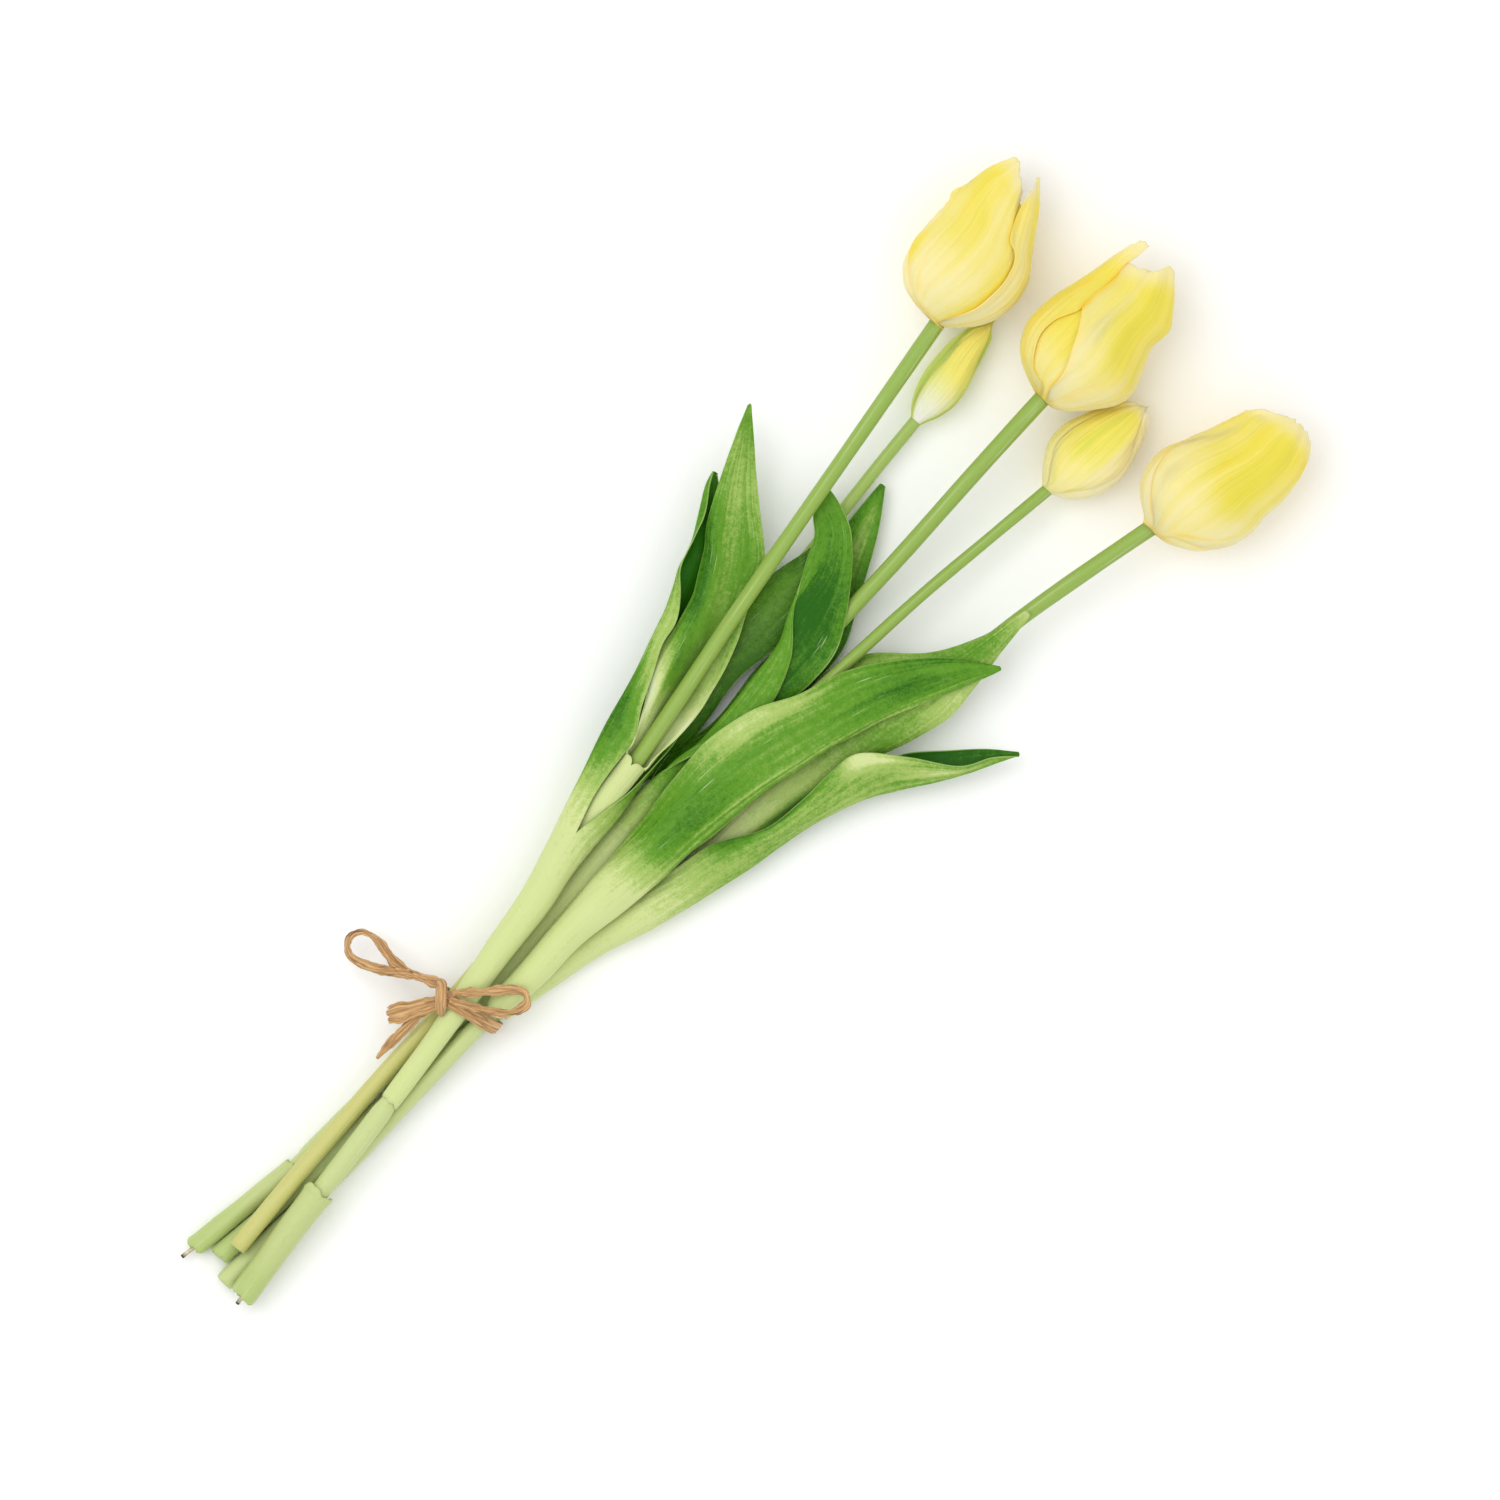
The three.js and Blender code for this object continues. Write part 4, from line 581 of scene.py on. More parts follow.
def petal_material(name, pale, mid, deep, green, white):
    """Soft petal: cream base, butter yellow body, greenish streaks, deep colour as painted shade
    in the creases (green margins on bud 1), inner faces paler as painted glow.
    """
    m = Nodes(name)
    tone, streaks, crease = m.attribute("tone"), m.attribute("streak"), m.attribute("crease")
    place = m.position()
    fine = m.along(36, 0.22, 2.0)
    broad = m.along(9, 0.4, 2.0)
    patches = m.noise(place, 55, 2.0)
    level = m.varied(m.varied(tone, patches, 0.45), broad, 0.7)
    tint = m.mix(m.ranged(level, 0.0, 1.0), pale, mid)
    line = m.times(streaks, m.ranged(fine, 0.46, 0.68))
    tint = m.mix(m.times(line, 0.66), tint, green)
    tint = m.mix(m.times(streaks, m.ranged(broad, 0.36, 0.66, 0.0, 0.55)), tint, green)
    # Painted shade: the deep colour along the creases between petals and along the margins; on bud
    # 1 this channel carries its green margins and tip instead.
    tint = m.mix(m.times(crease, 0.95), tint, deep)
    tint = m.mix(m.attribute("white"), tint, white)
    # Painted glow: the inner faces are paler, standing in for light that passes through the petals
    # into the cup.
    inner = m.ranged(m.attribute("side"), 0.0, -0.5, 0.0, 0.85)
    tint = m.mix(inner, tint, (255, 240, 168))
    pores = m.noise(place, 800, 2.0)
    normal = m.bumps((fine, 0.35, 0.0005), (broad, 0.3, 0.0012), (pores, 0.1, 0.0002))
    return m.set(Base_Color=tint, Roughness=0.55, Normal=normal, Specular_IOR_Level=0.2,
                 Subsurface_Weight=0.36, Subsurface_Radius=(1.0, 0.85, 0.4),
                 Subsurface_Scale=0.0028, Sheen_Weight=0.04, Sheen_Roughness=0.5)


def raffia_material():
    m = Nodes("raffia_fibre")
    fibre = m.along(16, 0.06, 4.0, 0.7)
    broad = m.along(5, 0.12, 3.0)
    thin = m.along(9, 0.08, 1.0)
    tint = m.mix(m.ranged(fibre, 0.3, 0.7), (156, 108, 60), (236, 192, 130))
    tint = m.mix(m.ranged(broad, 0.5, 0.75, 0.0, 0.5), tint, (232, 196, 142))
    tint = m.mix(m.ranged(broad, 0.5, 0.25, 0.0, 0.45), tint, (134, 90, 48))
    # Dark fine lines along the ribbon: fibre colour and painted shade in the gaps between strands.
    tint = m.mix(m.ranged(thin, 0.36, 0.30, 0.0, 0.75), tint, (86, 52, 24))
    tint = m.mix(m.ranged(thin, 0.64, 0.70, 0.0, 0.55), tint, (232, 192, 138))
    normal = m.bumps((fibre, 0.8, 0.0006), (broad, 0.7, 0.0012))
    return m.set(Base_Color=tint, Roughness=0.62, Normal=normal, Specular_IOR_Level=0.35,
                 Sheen_Weight=0.2)


def wire_material():
    m = Nodes("wire_steel")
    place = m.position()
    rust = m.ranged(m.noise(place, 900, 3.0), 0.4, 0.65)
    tint = m.mix(rust, (206, 200, 172), (168, 156, 124))
    tint = m.mix(m.attribute("tone"), tint, (52, 46, 40))
    return m.set(Base_Color=tint, Roughness=0.42, Metallic=0.35,
                 Normal=m.bumps((m.noise(place, 1500, 2.0), 0.2, 0.0002)))


LEAF_MAT = leaf_material("leaf_coating", (203, 215, 146), (160, 187, 96), (92, 146, 34),
                         (34, 96, 4))
STEM_MAT = stem_material("stem_green_coating", (142, 172, 74), (192, 205, 138))
TAN_MAT = stem_material("stem_tan_coating", (156, 182, 88), (196, 194, 116))
SLEEVE_MAT = stem_material("end_sleeve_coating", (188, 200, 132), (176, 194, 118))
PETAL_MAT = petal_material("petal_soft", (246, 231, 176), (240, 218, 84), (252, 204, 44),
                           (220, 210, 70), (250, 234, 190))
BUD1_MAT = petal_material("bud_1_soft", (204, 222, 112), (248, 230, 120), (186, 208, 88),
                          (226, 224, 96), (246, 243, 222))
BUD2_MAT = petal_material("bud_2_soft", (248, 232, 170), (244, 226, 100), (244, 222, 116),
                          (208, 212, 84), (253, 242, 208))
RAFFIA_MAT = raffia_material()
WIRE_MAT = wire_material()


# Leaves: name, stations, seam, turn, start and end of the change from pale to green, depth
# of the green, wave of the margins, tone patches and olive patches. A patch is x, u across the
# blade (-1 and 1 are the margins), half length, half width in u, change, and face (0 for both).

# Besides the leaves' own mottling, many tone patches are painted shade (hollows, inner faces,
# shade under other leaves and beside stems) or painted highlights (negative changes, which the
# material whitens where the tone falls below zero).
LEAVES = [
  ("leaf_1", LEAF_1, 90, -1, 44, 108, 0.68, 0.5, [(104, -0.6, 22, 0.3, 0.2, 0),
    # leaf_1: (163, 0) on the inner face is painted shade in the hollow; (136, -0.8) is a painted
    # highlight on the outer fold.
    (112, -0.95, 20, 0.14, -0.22, 0), (163, 0, 26, 3, 0.4, -1), (136, -0.8, 19, 0.34, -0.32, 1),
    (70, -0.8, 14, 0.5, -0.12, 0), (92, 0.8, 14, 0.3, 0.1, 0)], []),
  ("leaf_2", LEAF_2, 90, -1, 98, 150, 0.48, 0.4, [(152, -0.72, 20, 0.34, 0.42, 0),
    (172, -0.75, 12, 0.3, 0.2, 0), (114, -0.85, 14, 0.34, -0.55, 0), (112, 0.9, 16, 0.35, -0.3, 0),
    # leaf_2: (126, 0) and the olive patch at 126 darken the blade beside the stem, and (129,
    # -0.34) the face under the flap, as painted shade.
    (118, -0.44, 14, 0.07, 0.2, 0), (126, 0, 20, 0.42, 0.22, 0), (129, -0.34, 11, 0.24, 0.34, -1),
    (168, 0.3, 14, 0.4, 0.18, -1), (97, 0, 3, 3, -0.5, 0), (206, 0, 6, 3, 0.12, 0)],
    [(126, 0.1, 24, 0.45, 0.5, 0)]),
  ("leaf_3", LEAF_3, 270, 1, 62, 108, 0.68, 0.4, [(148, -0.55, 20, 0.4, -0.08, -1),
    (172, 0.1, 16, 0.5, 0.16, 0), (146, 0.7, 16, 0.4, 0.24, 0), (176, 0.3, 17, 0.6, 0.22, 1)],
    [(84, 0, 14, 3, 0.25, 0)]),
  ("leaf_4", LEAF_4, 90, -1, 70, 96, 0.86, 0.4, [(202, 0.2, 14, 0.6, -0.4, 0),
    (214, 0, 6, 2, -0.1, 0)], []),
  ("leaf_5", LEAF_5, 270, 1, 80, 104, 0.86, 0.3, [(150, 0.8, 30, 0.3, 0.1, 0),
    (170, -0.2, 16, 0.5, -0.12, 0)], [(150, 0, 40, 3, 0.2, 0)]),
  ("leaf_6", LEAF_6, 270, 1, 42, 84, 0.62, 0.6, [(90, -0.3, 15, 0.5, 0.16, 0),
    (106, 0, 18, 0.4, 0.1, 0), (176, -0.3, 10, 0.4, 0.12, 0), (190, -0.84, 14, 0.24, 0.24, 0),
    # leaf_6: (134, -0.82) is a painted highlight along the upper margin.
    (134, -0.82, 21, 0.24, -0.42, 0), (120, 0.45, 46, 0.12, -0.16, 0),
    (112, 0.2, 34, 0.07, -0.26, 0), (160, -0.2, 18, 0.5, 0.04, 0), (184, 0, 16, 0.5, 0.14, 0),
    (155, 0.9, 30, 0.2, -0.2, 0), (65, 0, 15, 1.2, -0.22, 0)], []),
  # leaf_7: (184, 0.75) is a painted highlight low on the leaf; (117, 0.36) is a dark strip of
  # painted shadow along leaf_8's margin.
  ("leaf_7", LEAF_7, 270, 1, 84, 158, 0.5, 0.4, [(184, 0.75, 16, 0.4, -0.26, 0),
    (162, 0.5, 12, 0.5, 0.12, 0), (200, -0.2, 10, 0.6, 0.16, 0), (117, 0.36, 15, 0.12, 0.8, 0),
    (222, 0, 6, 3, -0.3, 0)], [(118, 0.2, 32, 0.9, 0.38, 0), (96, 0.2, 12, 0.9, 0.3, 0)]),
  # leaf_8: (150, -0.84) and (164, -0.4) are painted highlights on the fold and margin; (118,
  # -0.98) is a dark band at the margin, partly painted shade; (140, 0) darkens the inner face,
  # partly painted shade inside the cup.
  ("leaf_8", LEAF_8, 0, 1, 46, 108, 0.56, 0.5, [(150, -0.84, 8, 0.2, -0.62, 1),
    (164, -0.4, 10, 0.2, -0.36, 1), (118, -0.98, 18, 0.1, 0.4, 1), (112, -0.4, 20, 0.4, -0.1, 1),
    (98, -0.9, 8, 0.3, 0.3, 1), (138, -0.2, 12, 0.4, -0.12, 1), (140, 0, 70, 3, 0.52, -1)], []),
]
LEAF_STEPS, LEAF_COLUMNS = 8, 56
LEAF_THICKNESS, LEAF_THINNING = 0.8, 0.42
SECTION_POINTS = 5


def key_rows(stations, seam, turn, columns):
    """One row of points for each station, round the sleeve or across the blade."""
    keys = []
    for s in stations:
        if len(s) == 4:
            x, y, z, r = s
            a = np.radians(seam + turn * 360 * np.linspace(0, 1, columns + 1))
            keys.append(np.stack([np.full(columns + 1, x), y + np.cos(a) * r,
                                  z + np.sin(a) * r], 1))
        else:
            if len(s) == 3 * SECTION_POINTS:
                points = np.reshape(s, (-1, 3))
            else:
                points = np.insert(np.array(s[1:], float).reshape(-1, 2), 0, s[0], 1)
            keys.append(spline(points, np.linspace(0, SECTION_POINTS - 1, columns + 1)))
    return np.array(keys)


def leaf_grid(stations, seam, turn, per_span, columns):
    """Grid of middle points of a leaf, and how many of its first rows are closed rings."""
    keys = key_rows(stations, seam, turn, columns)
    total = (len(stations) - 1) * per_span
    p = spline(keys, np.arange(total + 1) / per_span)
    rings = sum(1 for s in stations if len(s) == 4)
    closed = (rings - 1) * per_span + 1 if rings else 0
    p[:closed, 0] = p[:closed, -1] = (p[:closed, 0] + p[:closed, -1]) / 2
    return p, closed


def painted(x, u, side, patches):
    """Sum of the patches of one face."""
    total = np.zeros(x.shape)
    for px, pu, sx, su, amount, where in patches:
        if where in (0, side):
            total += amount * bell(x, u, px, pu, sx, su)
    return total


def build_leaf(number, entry):
    name, stations, seam, turn, start, full, depth, wave, patches, olives = entry
    p, closed = leaf_grid(stations, seam, turn, LEAF_STEPS, LEAF_COLUMNS)
    rows, columns = p.shape[:2]
    u = np.linspace(-1, 1, columns)[None, :].repeat(rows, 0)
    length = lengths(p[:, columns // 2])
    s = length[:, None].repeat(columns, 1)
    opened = smooth(closed - 1, closed + 2 * LEAF_STEPS, np.arange(rows))[:, None]
    n = grid_normals(p, closed)
    tip = 1 - smooth(length[-1] - 14, length[-1], s)
    lift = wave * opened * np.abs(u) ** 4 * ripple(number, s / 26, np.sign(u) * 0.7) * tip
    lift = lift + 0.16 * opened * ripple(number + 50, s / 40, u * 1.6) * tip
    lift = lift + 0.05 * (1 - opened) * ripple(number + 70, s / 30, np.zeros_like(u))
    p = p + n * lift[..., None]
    torn = smooth(3.0, 0.0, s)
    p[..., 0] += 0.6 * torn * ripple(number + 80, u * 2.5, 0 * u)
    p = p - n * (0.16 * torn)[..., None]
    margin = smooth(0.72, 1.0, np.abs(u)) * opened
    thickness = LEAF_THICKNESS - LEAF_THINNING * np.maximum(margin, torn)
    x = p[..., 0]
    base = smooth(start, full, x - 3 * np.abs(u)) * depth
    edge = smooth(0.955, 1.0, np.abs(u)) * opened
    sides = []
    for side in (1, -1):
        face = side * turn
        # Tone may fall below zero only where the blade is green; the material turns that into
        # painted highlight.
        tone = np.clip(base + painted(x, u, face, patches), -0.9 * base, 1.1)
        olive = np.clip(painted(x, u, face, olives), 0, 1)
        sides.append(np.stack([tone, edge, olive], 2))
    uv = np.stack([u * 0.5 + 0.5, s], 2)
    shape = Shape()
    add_sheet(shape, p, thickness, tuple(sides), uv, closed)
    shape.make(name, LEAF_MAT, ("tone", "edge", "olive", "side"))


for number, entry in enumerate(LEAVES):
    build_leaf(number + 1, entry)


# Stems: name, stations, x where the tone starts and ends to change from pale at the cut end to
# fresh green, material, slot, and radius of the wire's hole.

HOLE_RADIUS = 1.1
STEMS = [
    ("stem_1", STEM_1, 60, 110, STEM_MAT, "stem_green", HOLE_RADIUS),
    ("stem_2", STEM_2, -60, 120, TAN_MAT, "stem_tan", 0),
    ("stem_3", STEM_3, 40, 120, STEM_MAT, "stem_green", HOLE_RADIUS),
    ("stem_4", STEM_4, 20, 120, STEM_MAT, "stem_green", 0),
    ("stem_5", STEM_5, 40, 130, STEM_MAT, "stem_green", 0),
]
STEM_STEPS, STEM_SIDES = 8, 28
INTO_HEAD = 1.6
for number, (name, stations, low, high, material, slot, hole) in enumerate(STEMS):
    s = dense(stations, STEM_STEPS)
    s[-1, :3] += unit(s[-1, :3] - s[-3, :3]) * INTO_HEAD
    wobble = 1 + 0.012 * ripple(number + 90, s[:, 0] / 35, np.zeros(len(s)))
    shape = Shape()
    x = s[:, 0]
    add_bar(shape, s[:, :3], s[:, 3] * wobble, STEM_SIDES, smooth(low, high, x), x, hole)
    shape.make(name, material)

# Wire stubs: name, stem, x of the tip. A wire is dark at its tip.

WIRES = [("wire_1", STEM_1, -126.1), ("wire_2", STEM_3, -127.4)]
WIRE_RADIUS, WIRE_SEAT = 0.72, 8.6
WIRE_ROWS, WIRE_SIDES = 12, 16
for name, stations, tip in WIRES:
    end = np.array(stations[0][:3])
    d = unit(spline(stations, [0.5])[0, :3] - end)
    reach = np.linspace(tip - end[0], WIRE_SEAT, WIRE_ROWS)
    centre = end + reach[:, None] * d
    shape = Shape()
    add_bar(shape, centre, np.full(WIRE_ROWS, WIRE_RADIUS), WIRE_SIDES,
            smooth(reach[0] + 1.6, reach[0], reach), reach)
    shape.make(name, WIRE_MAT)

# End sleeves: name, rings, thickness, how ragged the inner end is.

END_SLEEVES = [
  ("end_sleeve_1", [[-123.4, -8.4, 8.9, 4.2], [-117, -7.5, 9.8, 4.15], [-110, -6.6, 10.6, 4.2],
    [-92, -4.6, 12.2, 4.3], [-78.6, -3.4, 13, 4.5]], 1, 0.9),
  ("end_sleeve_2", [[-122.6, 14.75, 4, 3.2], [-110, 12.95, 3.9, 3.1], [-95, 10.9, 3.7, 2.9],
    [-79, 9, 3.4, 2.7]], 0.8, 0.7),
  ("end_sleeve_3", [[-118.8, 6.8, 4.1, 3.3], [-109, 5.6, 3.9, 3.1],
    [-99, 4.7, 3.6, 2.8]], 0.8, 0.6),
]
SLEEVE_STEPS, SLEEVE_COLUMNS = 12, 48
for number, (name, stations, thickness, ragged) in enumerate(END_SLEEVES):
    p, closed = leaf_grid(stations, 90, -1, SLEEVE_STEPS, SLEEVE_COLUMNS)
    rows, columns = p.shape[:2]
    angle = np.linspace(0, 2 * math.pi, columns)
    share = np.linspace(0, 1, rows)[:, None]
    jag = ragged * (np.sin(angle * 3 + number) + 0.6 * np.sin(angle * 7 + 1)) * 0.6
    p[..., 0] += jag * smooth(0.8, 1.0, share) - ragged * smooth(0.8, 1.0, share)
    jag = 0.25 * (np.sin(angle * 4 + 2 * number) + 0.5 * np.sin(angle * 9))
    p[..., 0] += jag * smooth(0.12, 0.0, share) + 0.3 * smooth(0.12, 0.0, share)
    n = grid_normals(p, closed)
    dent = 0.12 * ripple(number + 30, share * 2 + 0 * angle, np.sin(angle)[None] * 0.6)
    dent = dent + 0.2 * smooth(0.16, 0.04, share) * np.sin(angle * 3 + number)[None]
    dent = dent + 1.1 * np.clip(1 - share / 0.05, 0, 1) ** 2
    dent = dent - 0.3 * np.exp(-((share - 0.96) / 0.02) ** 2) * (1 + 0.5 * np.sin(angle * 2))
    p = p + n * dent[..., None]
    attributes = np.stack([smooth(0, 1, share) + 0 * angle, 0 * angle + 0 * share], 2)
    uv = np.stack([angle[None] / (2 * math.pi) + 0 * share, p[..., 0]], 2)
    shape = Shape()
    add_sheet(shape, p, np.full((rows, columns), thickness) * 0.97, attributes, uv, closed)
    shape.make(name, SLEEVE_MAT)


# Blooms. A petal lies on the surface of its head between two margins. A margin is pairs of x
# and angle, or three angles at the usual x of its head: 0 is +Y, 90 is up, 180 is -Y. Its tip
# is x from margin to margin.

TABLE_ROWS, MARGIN_ROWS = 400, 300


def head_table(head, stem, neck):
    """The head's stations as a dense table that starts on the end of its stem."""
    base = [[head[0][0] - 0.5, stem[-1][1], stem[-1][2], neck, neck]]
    return spline(base + head, np.linspace(0, len(head), TABLE_ROWS))


def at(table, column, x):
    """A column of a table at x, which is its first column."""
    return np.interp(x, table[:, 0], table[:, column])


def angle_at(margin, usual, x):
    pairs = np.stack([usual, margin], 1) if len(margin) == 3 else np.reshape(margin, (-1, 2))
    return at(spline(pairs, np.linspace(0, len(pairs) - 1, MARGIN_ROWS)), 1, x)


def petal_grid(table, spec, usual, rows, columns, seed):
    """Grid of middle points of a petal, with u across it, v along it, x and angle."""
    u = np.linspace(-1, 1, columns)[None, :].repeat(rows, 0)
    v = np.linspace(0, 1, rows)[:, None].repeat(columns, 1) ** 1.15
    x0 = table[0, 0] + 0.02
    tips = spline(spec["tip"], (u[0] + 1) / 2 * (len(spec["tip"]) - 1))[None].repeat(rows, 0)
    frill = 0.35 * ripple(seed + 5, u * 4, np.zeros_like(u)) * smooth(0.7, 1, v)
    x = x0 + v * (tips + frill - x0)
    left, right = angle_at(spec["left"], usual, x), angle_at(spec["right"], usual, x)
    a = np.radians(left + (right - left) * (u + 1) / 2)
    low, high = spec.get("scale", (1.0, 1.0))
    scale = low + (high - low) * (u + 1) / 2
    if "middle" in spec:
        scale = scale + (spec["middle"] - scale) * (1 - u ** 2)
    curl_left, curl_right = spec.get("curl", (0.0, 0.0))
    body = smooth(0.04, 0.25, v)
    scale = scale * (1 - spec.get("close", 0.0) * smooth(spec.get("close_from", 0.9), 1.0, v))
    scale = scale + body * (curl_left * smooth(-0.8, -1.0, u) + curl_right * smooth(0.8, 1.0, u))
    lift = 0.10 * ripple(seed, a * 5.5, v * 1.2) * body
    lift = lift + 0.26 * ripple(seed + 1, a * 1.6, v * 1.4) * smooth(0.15, 0.5, v)
    margin = smooth(0.6, 1.0, np.abs(u))
    lift = lift + spec.get("wave", 0.5) * ripple(seed + 2, v * 2.6, u) * margin * smooth(
        0.3, 0.6, v)
    lift = lift - spec.get("groove", 0.3) * np.exp(-(u / 0.09) ** 2) * smooth(0.1, 0.4, v)
    for *spot, amount in spec.get("bumps", ()):
        lift = lift + amount * bell(x, np.degrees(a), *spot)
    h, w = at(table, 3, x), at(table, 4, x)
    p = np.stack([x, at(table, 1, x) + np.cos(a) * (h * scale + lift),
                  at(table, 2, x) + np.sin(a) * (w * scale + lift)], 2)
    return p, u, v, x, a


def distance_to_margins(p, others):
    """Distance of every point of a petal to the nearest margin of the other petals."""
    points = np.concatenate([margin for q in others for margin in (q[2:, 0], q[2:, -1])])
    tree = KDTree(len(points))
    for i, point in enumerate(points):
        tree.insert(point, i)
    tree.balance()
    return np.array([tree.find(c)[2] for c in p.reshape(-1, 3)]).reshape(p.shape[:2])


def build_head(name, head, stem, neck, petals, usual, seed, material, slot, size):
    table = head_table(head, stem, neck)
    start, span = table[0, 0], table[-1, 0] - table[0, 0]
    grids = [petal_grid(table, spec, usual, size, size, seed * 100 + 10 * k)
             for k, spec in enumerate(petals)]
    shape = Shape()
    for k, (p, u, v, x, a) in enumerate(grids):
        spec, angle = petals[k], np.degrees(a)
        reach = distance_to_margins(p, [grid[0] for j, grid in enumerate(grids) if j != k])
        reach = np.maximum(reach - spec.get("gap", 0.0), 0)
        # Painted shade in the creases: deep colour where another petal's margin lies near (gap
        # widens it), and thinly along this petal's own margins.
        crease = np.exp(-(reach / 0.95) ** 2) * smooth(0.02, 0.12, v)
        crease = crease * (1 - 0.6 * smooth(0.85, 1.0, v))
        own = np.exp(-((1 - np.abs(u)) * 12 / 0.7) ** 2) * 0.3
        crease = np.clip(crease * spec.get("crease", 1.0) + own, 0, 1)
        tone = 0.3 + 0.4 * smooth(0.0, 1.0, (x - start) / span) + spec.get("tone", 0.0)
        # Deep colour also round the base of the head, next to the stem.
        crease = np.clip(crease + 0.6 * smooth(2.6, 0.6, x - start) * spec.get("ring", 1.0), 0, 1)
        # Patches of deeper yellow (lighter where the amount is below zero), which also add to the
        # painted crease shade.
        for *place, amount in spec.get("stains", ()):
            spot = bell(x, angle, *place)
            tone = tone + 2 * amount * spot
            crease = np.clip(crease + amount * spot * (0.5 + 0.5 * np.cos(angle * 1.6)), 0, 1)
        middle, width = spec.get("streak", (0.0, 0.45))
        streak = np.exp(-((u - middle) / width) ** 2) * smooth(0.2, 0.5, v) * smooth(
            1.02, 0.8, v) * spec.get("streaks", 0.8)
        tone = tone + 0.35 * streak
        white = 0.6 * smooth(spec.get("rim_from", 0.86), 1.0, v) * spec.get("rim", 1.0)
        for *place, amount in spec.get("pale", ()):
            white = white + amount * bell(x, angle, *place)
        if "white" in spec:
            white = smooth(0.5, 0.0, v) * smooth(0.95, 0.45, np.abs(u)) * spec["white"]
        # Bud 1 uses the crease channel for its own green margins and tip, which are not shade.
        if "green" in spec:
            crease = spec["green"] * smooth(0.45, 1.0, np.abs(u)) * smooth(0.0, 0.3, v) + smooth(
                0.9, 1.0, v) * 0.6
        attributes = np.stack([tone, streak, crease, white], 2)
        uv = np.stack([a / 2.1, (x - start) / span], 2)
        thickness = (0.75 - 0.45 * smooth(0.75, 1.0, np.abs(u))) * (1 - 0.45 * smooth(0.85, 1, v))
        add_sheet(shape, p, thickness, attributes, uv)
    shape.make(name, material, ("tone", "streak", "crease", "white", "side"))


# A petal has its left and right margin and its tip. Scale is its distance from the head's axis
# at its left and right margin and middle, curl what its margins add to that, and close how far
# it closes over the tip. Bumps are x, angle, two half sizes and height; deeper yellow patches and
# pale patches the same with an amount. The rest changes its shape (wave, groove) or its colours,
# among them the deep colour that is painted shade in the creases.

def petal(left, right, tip, **looks):
    return dict(left=left, right=right, tip=tip, **looks)


def inner_petal(left, right, tip, scale):
    return petal(left, right, tip, scale=(scale, scale), close=0.85, close_from=0.45, tone=0.2)


BLOOM_1_PETALS = [
  petal((272, 62, 276, 47, 280, 32, 285, 16, 291, 4, 299, -2, 303, 8, 308, 16, 313, 8, 320, -6,
        331, -8), (272, 160, 280, 152, 295, 150, 305, 146, 310, 130, 314, 119, 320, 113, 324, 110,
        331, 118), (326, 329.4, 330.2, 330, 328.4, 325.8, 323.4), curl=(0.02, -0.04), streak=(-0.3,
        0.4), streaks=0.6, groove=0.2, stains=[(290, 134, 14, 12, 0.5), (283, 20, 8, 14, 0.4)],
        scale=(1.02, 0.95), middle=1),
  petal((272, 132, 276, 132, 280, 130, 290, 127, 298, 128, 304, 126, 307, 122, 308.4, 114, 312,
        112, 317, 113, 323, 116, 331, 134), (272, 236, 290, 236, 310, 232, 331, 226), (326, 330.8,
        330.4, 328, 325, 322), scale=(1.02, 0.98), middle=1, curl=(0.03, 0), streak=(-0.1, 0.3),
        streaks=0.3),
  petal((-64, -60, -50), (272, 70, 285, 50, 300, 45, 331, 40), (318, 321, 323.5, 323, 321),
        scale=(0.98, 0.92), middle=0.99, bumps=[(308, -6, 3.6, 15, 2.3)], streaks=0.25, tone=0.1,
        gap=1.1, pale=[(281, 40, 10, 26, 0.5)]),
  petal((210, 212, 215), (332, 330, 325), (316, 320, 322, 320, 316), streaks=0.5),
  inner_petal((66, 66, 60), (160, 160, 165), (312, 316, 318, 316, 312), 0.88),
  inner_petal((-48, -48, -44), (48, 48, 44), (312, 316, 318, 316, 312), 0.86),
  inner_petal((190, 190, 194), (282, 282, 278), (312, 316, 318, 316, 312), 0.88),
]
BLOOM_2_PETALS = [
  petal((278, 96, 281, 93, 285, 95, 290, 90, 295, 82, 302, 73, 306, 66, 309, 59, 315, 57.5, 322,
        55, 328, 52, 339, 55), (216, 216, 214), (330.4, 331.4, 334.2, 338, 338.7, 336.5, 332, 326),
        scale=(1, 0.99), bumps=[(315, 186, 4, 40, -0.9), (324, 186, 3, 40, 0.9)], curl=(0.03, 0),
        streak=(-0.15, 0.42), streaks=1, groove=0.35, wave=0.7),
  petal((-48, -46, -40), (278, 84, 281, 80, 282.4, 58, 284, 53, 288, 49, 292, 46, 296, 46, 300, 48,
        304, 54, 307, 59, 312, 58, 320, 55, 325, 54, 330, 54, 334, 56, 339, 62), (326, 331, 335,
        338, 339.2, 338.9), scale=(0.98, 1.016), middle=1, curl=(0, 0.012), streak=(0.1, 0.4),
        streaks=0.5, tone=0.3, rim=1.2, rim_from=0.74),
  petal((30, 28, 30), (124, 120, 112), (318, 322, 324, 322, 316), scale=(0.95, 0.92), middle=0.953,
        streak=(-0.1, 0.5), streaks=0.5, tone=0.3, crease=1.2),
  petal((206, 206, 210), (322, 322, 316), (326, 331, 334, 331, 326), scale=(0.97, 0.97),
        middle=0.99),
  inner_petal((128, 140, 140), (236, 234, 230), (314, 320, 322, 320, 314), 0.88),
  inner_petal((-96, -94, -90), (8, 8, 4), (314, 320, 322, 320, 314), 0.88),
]
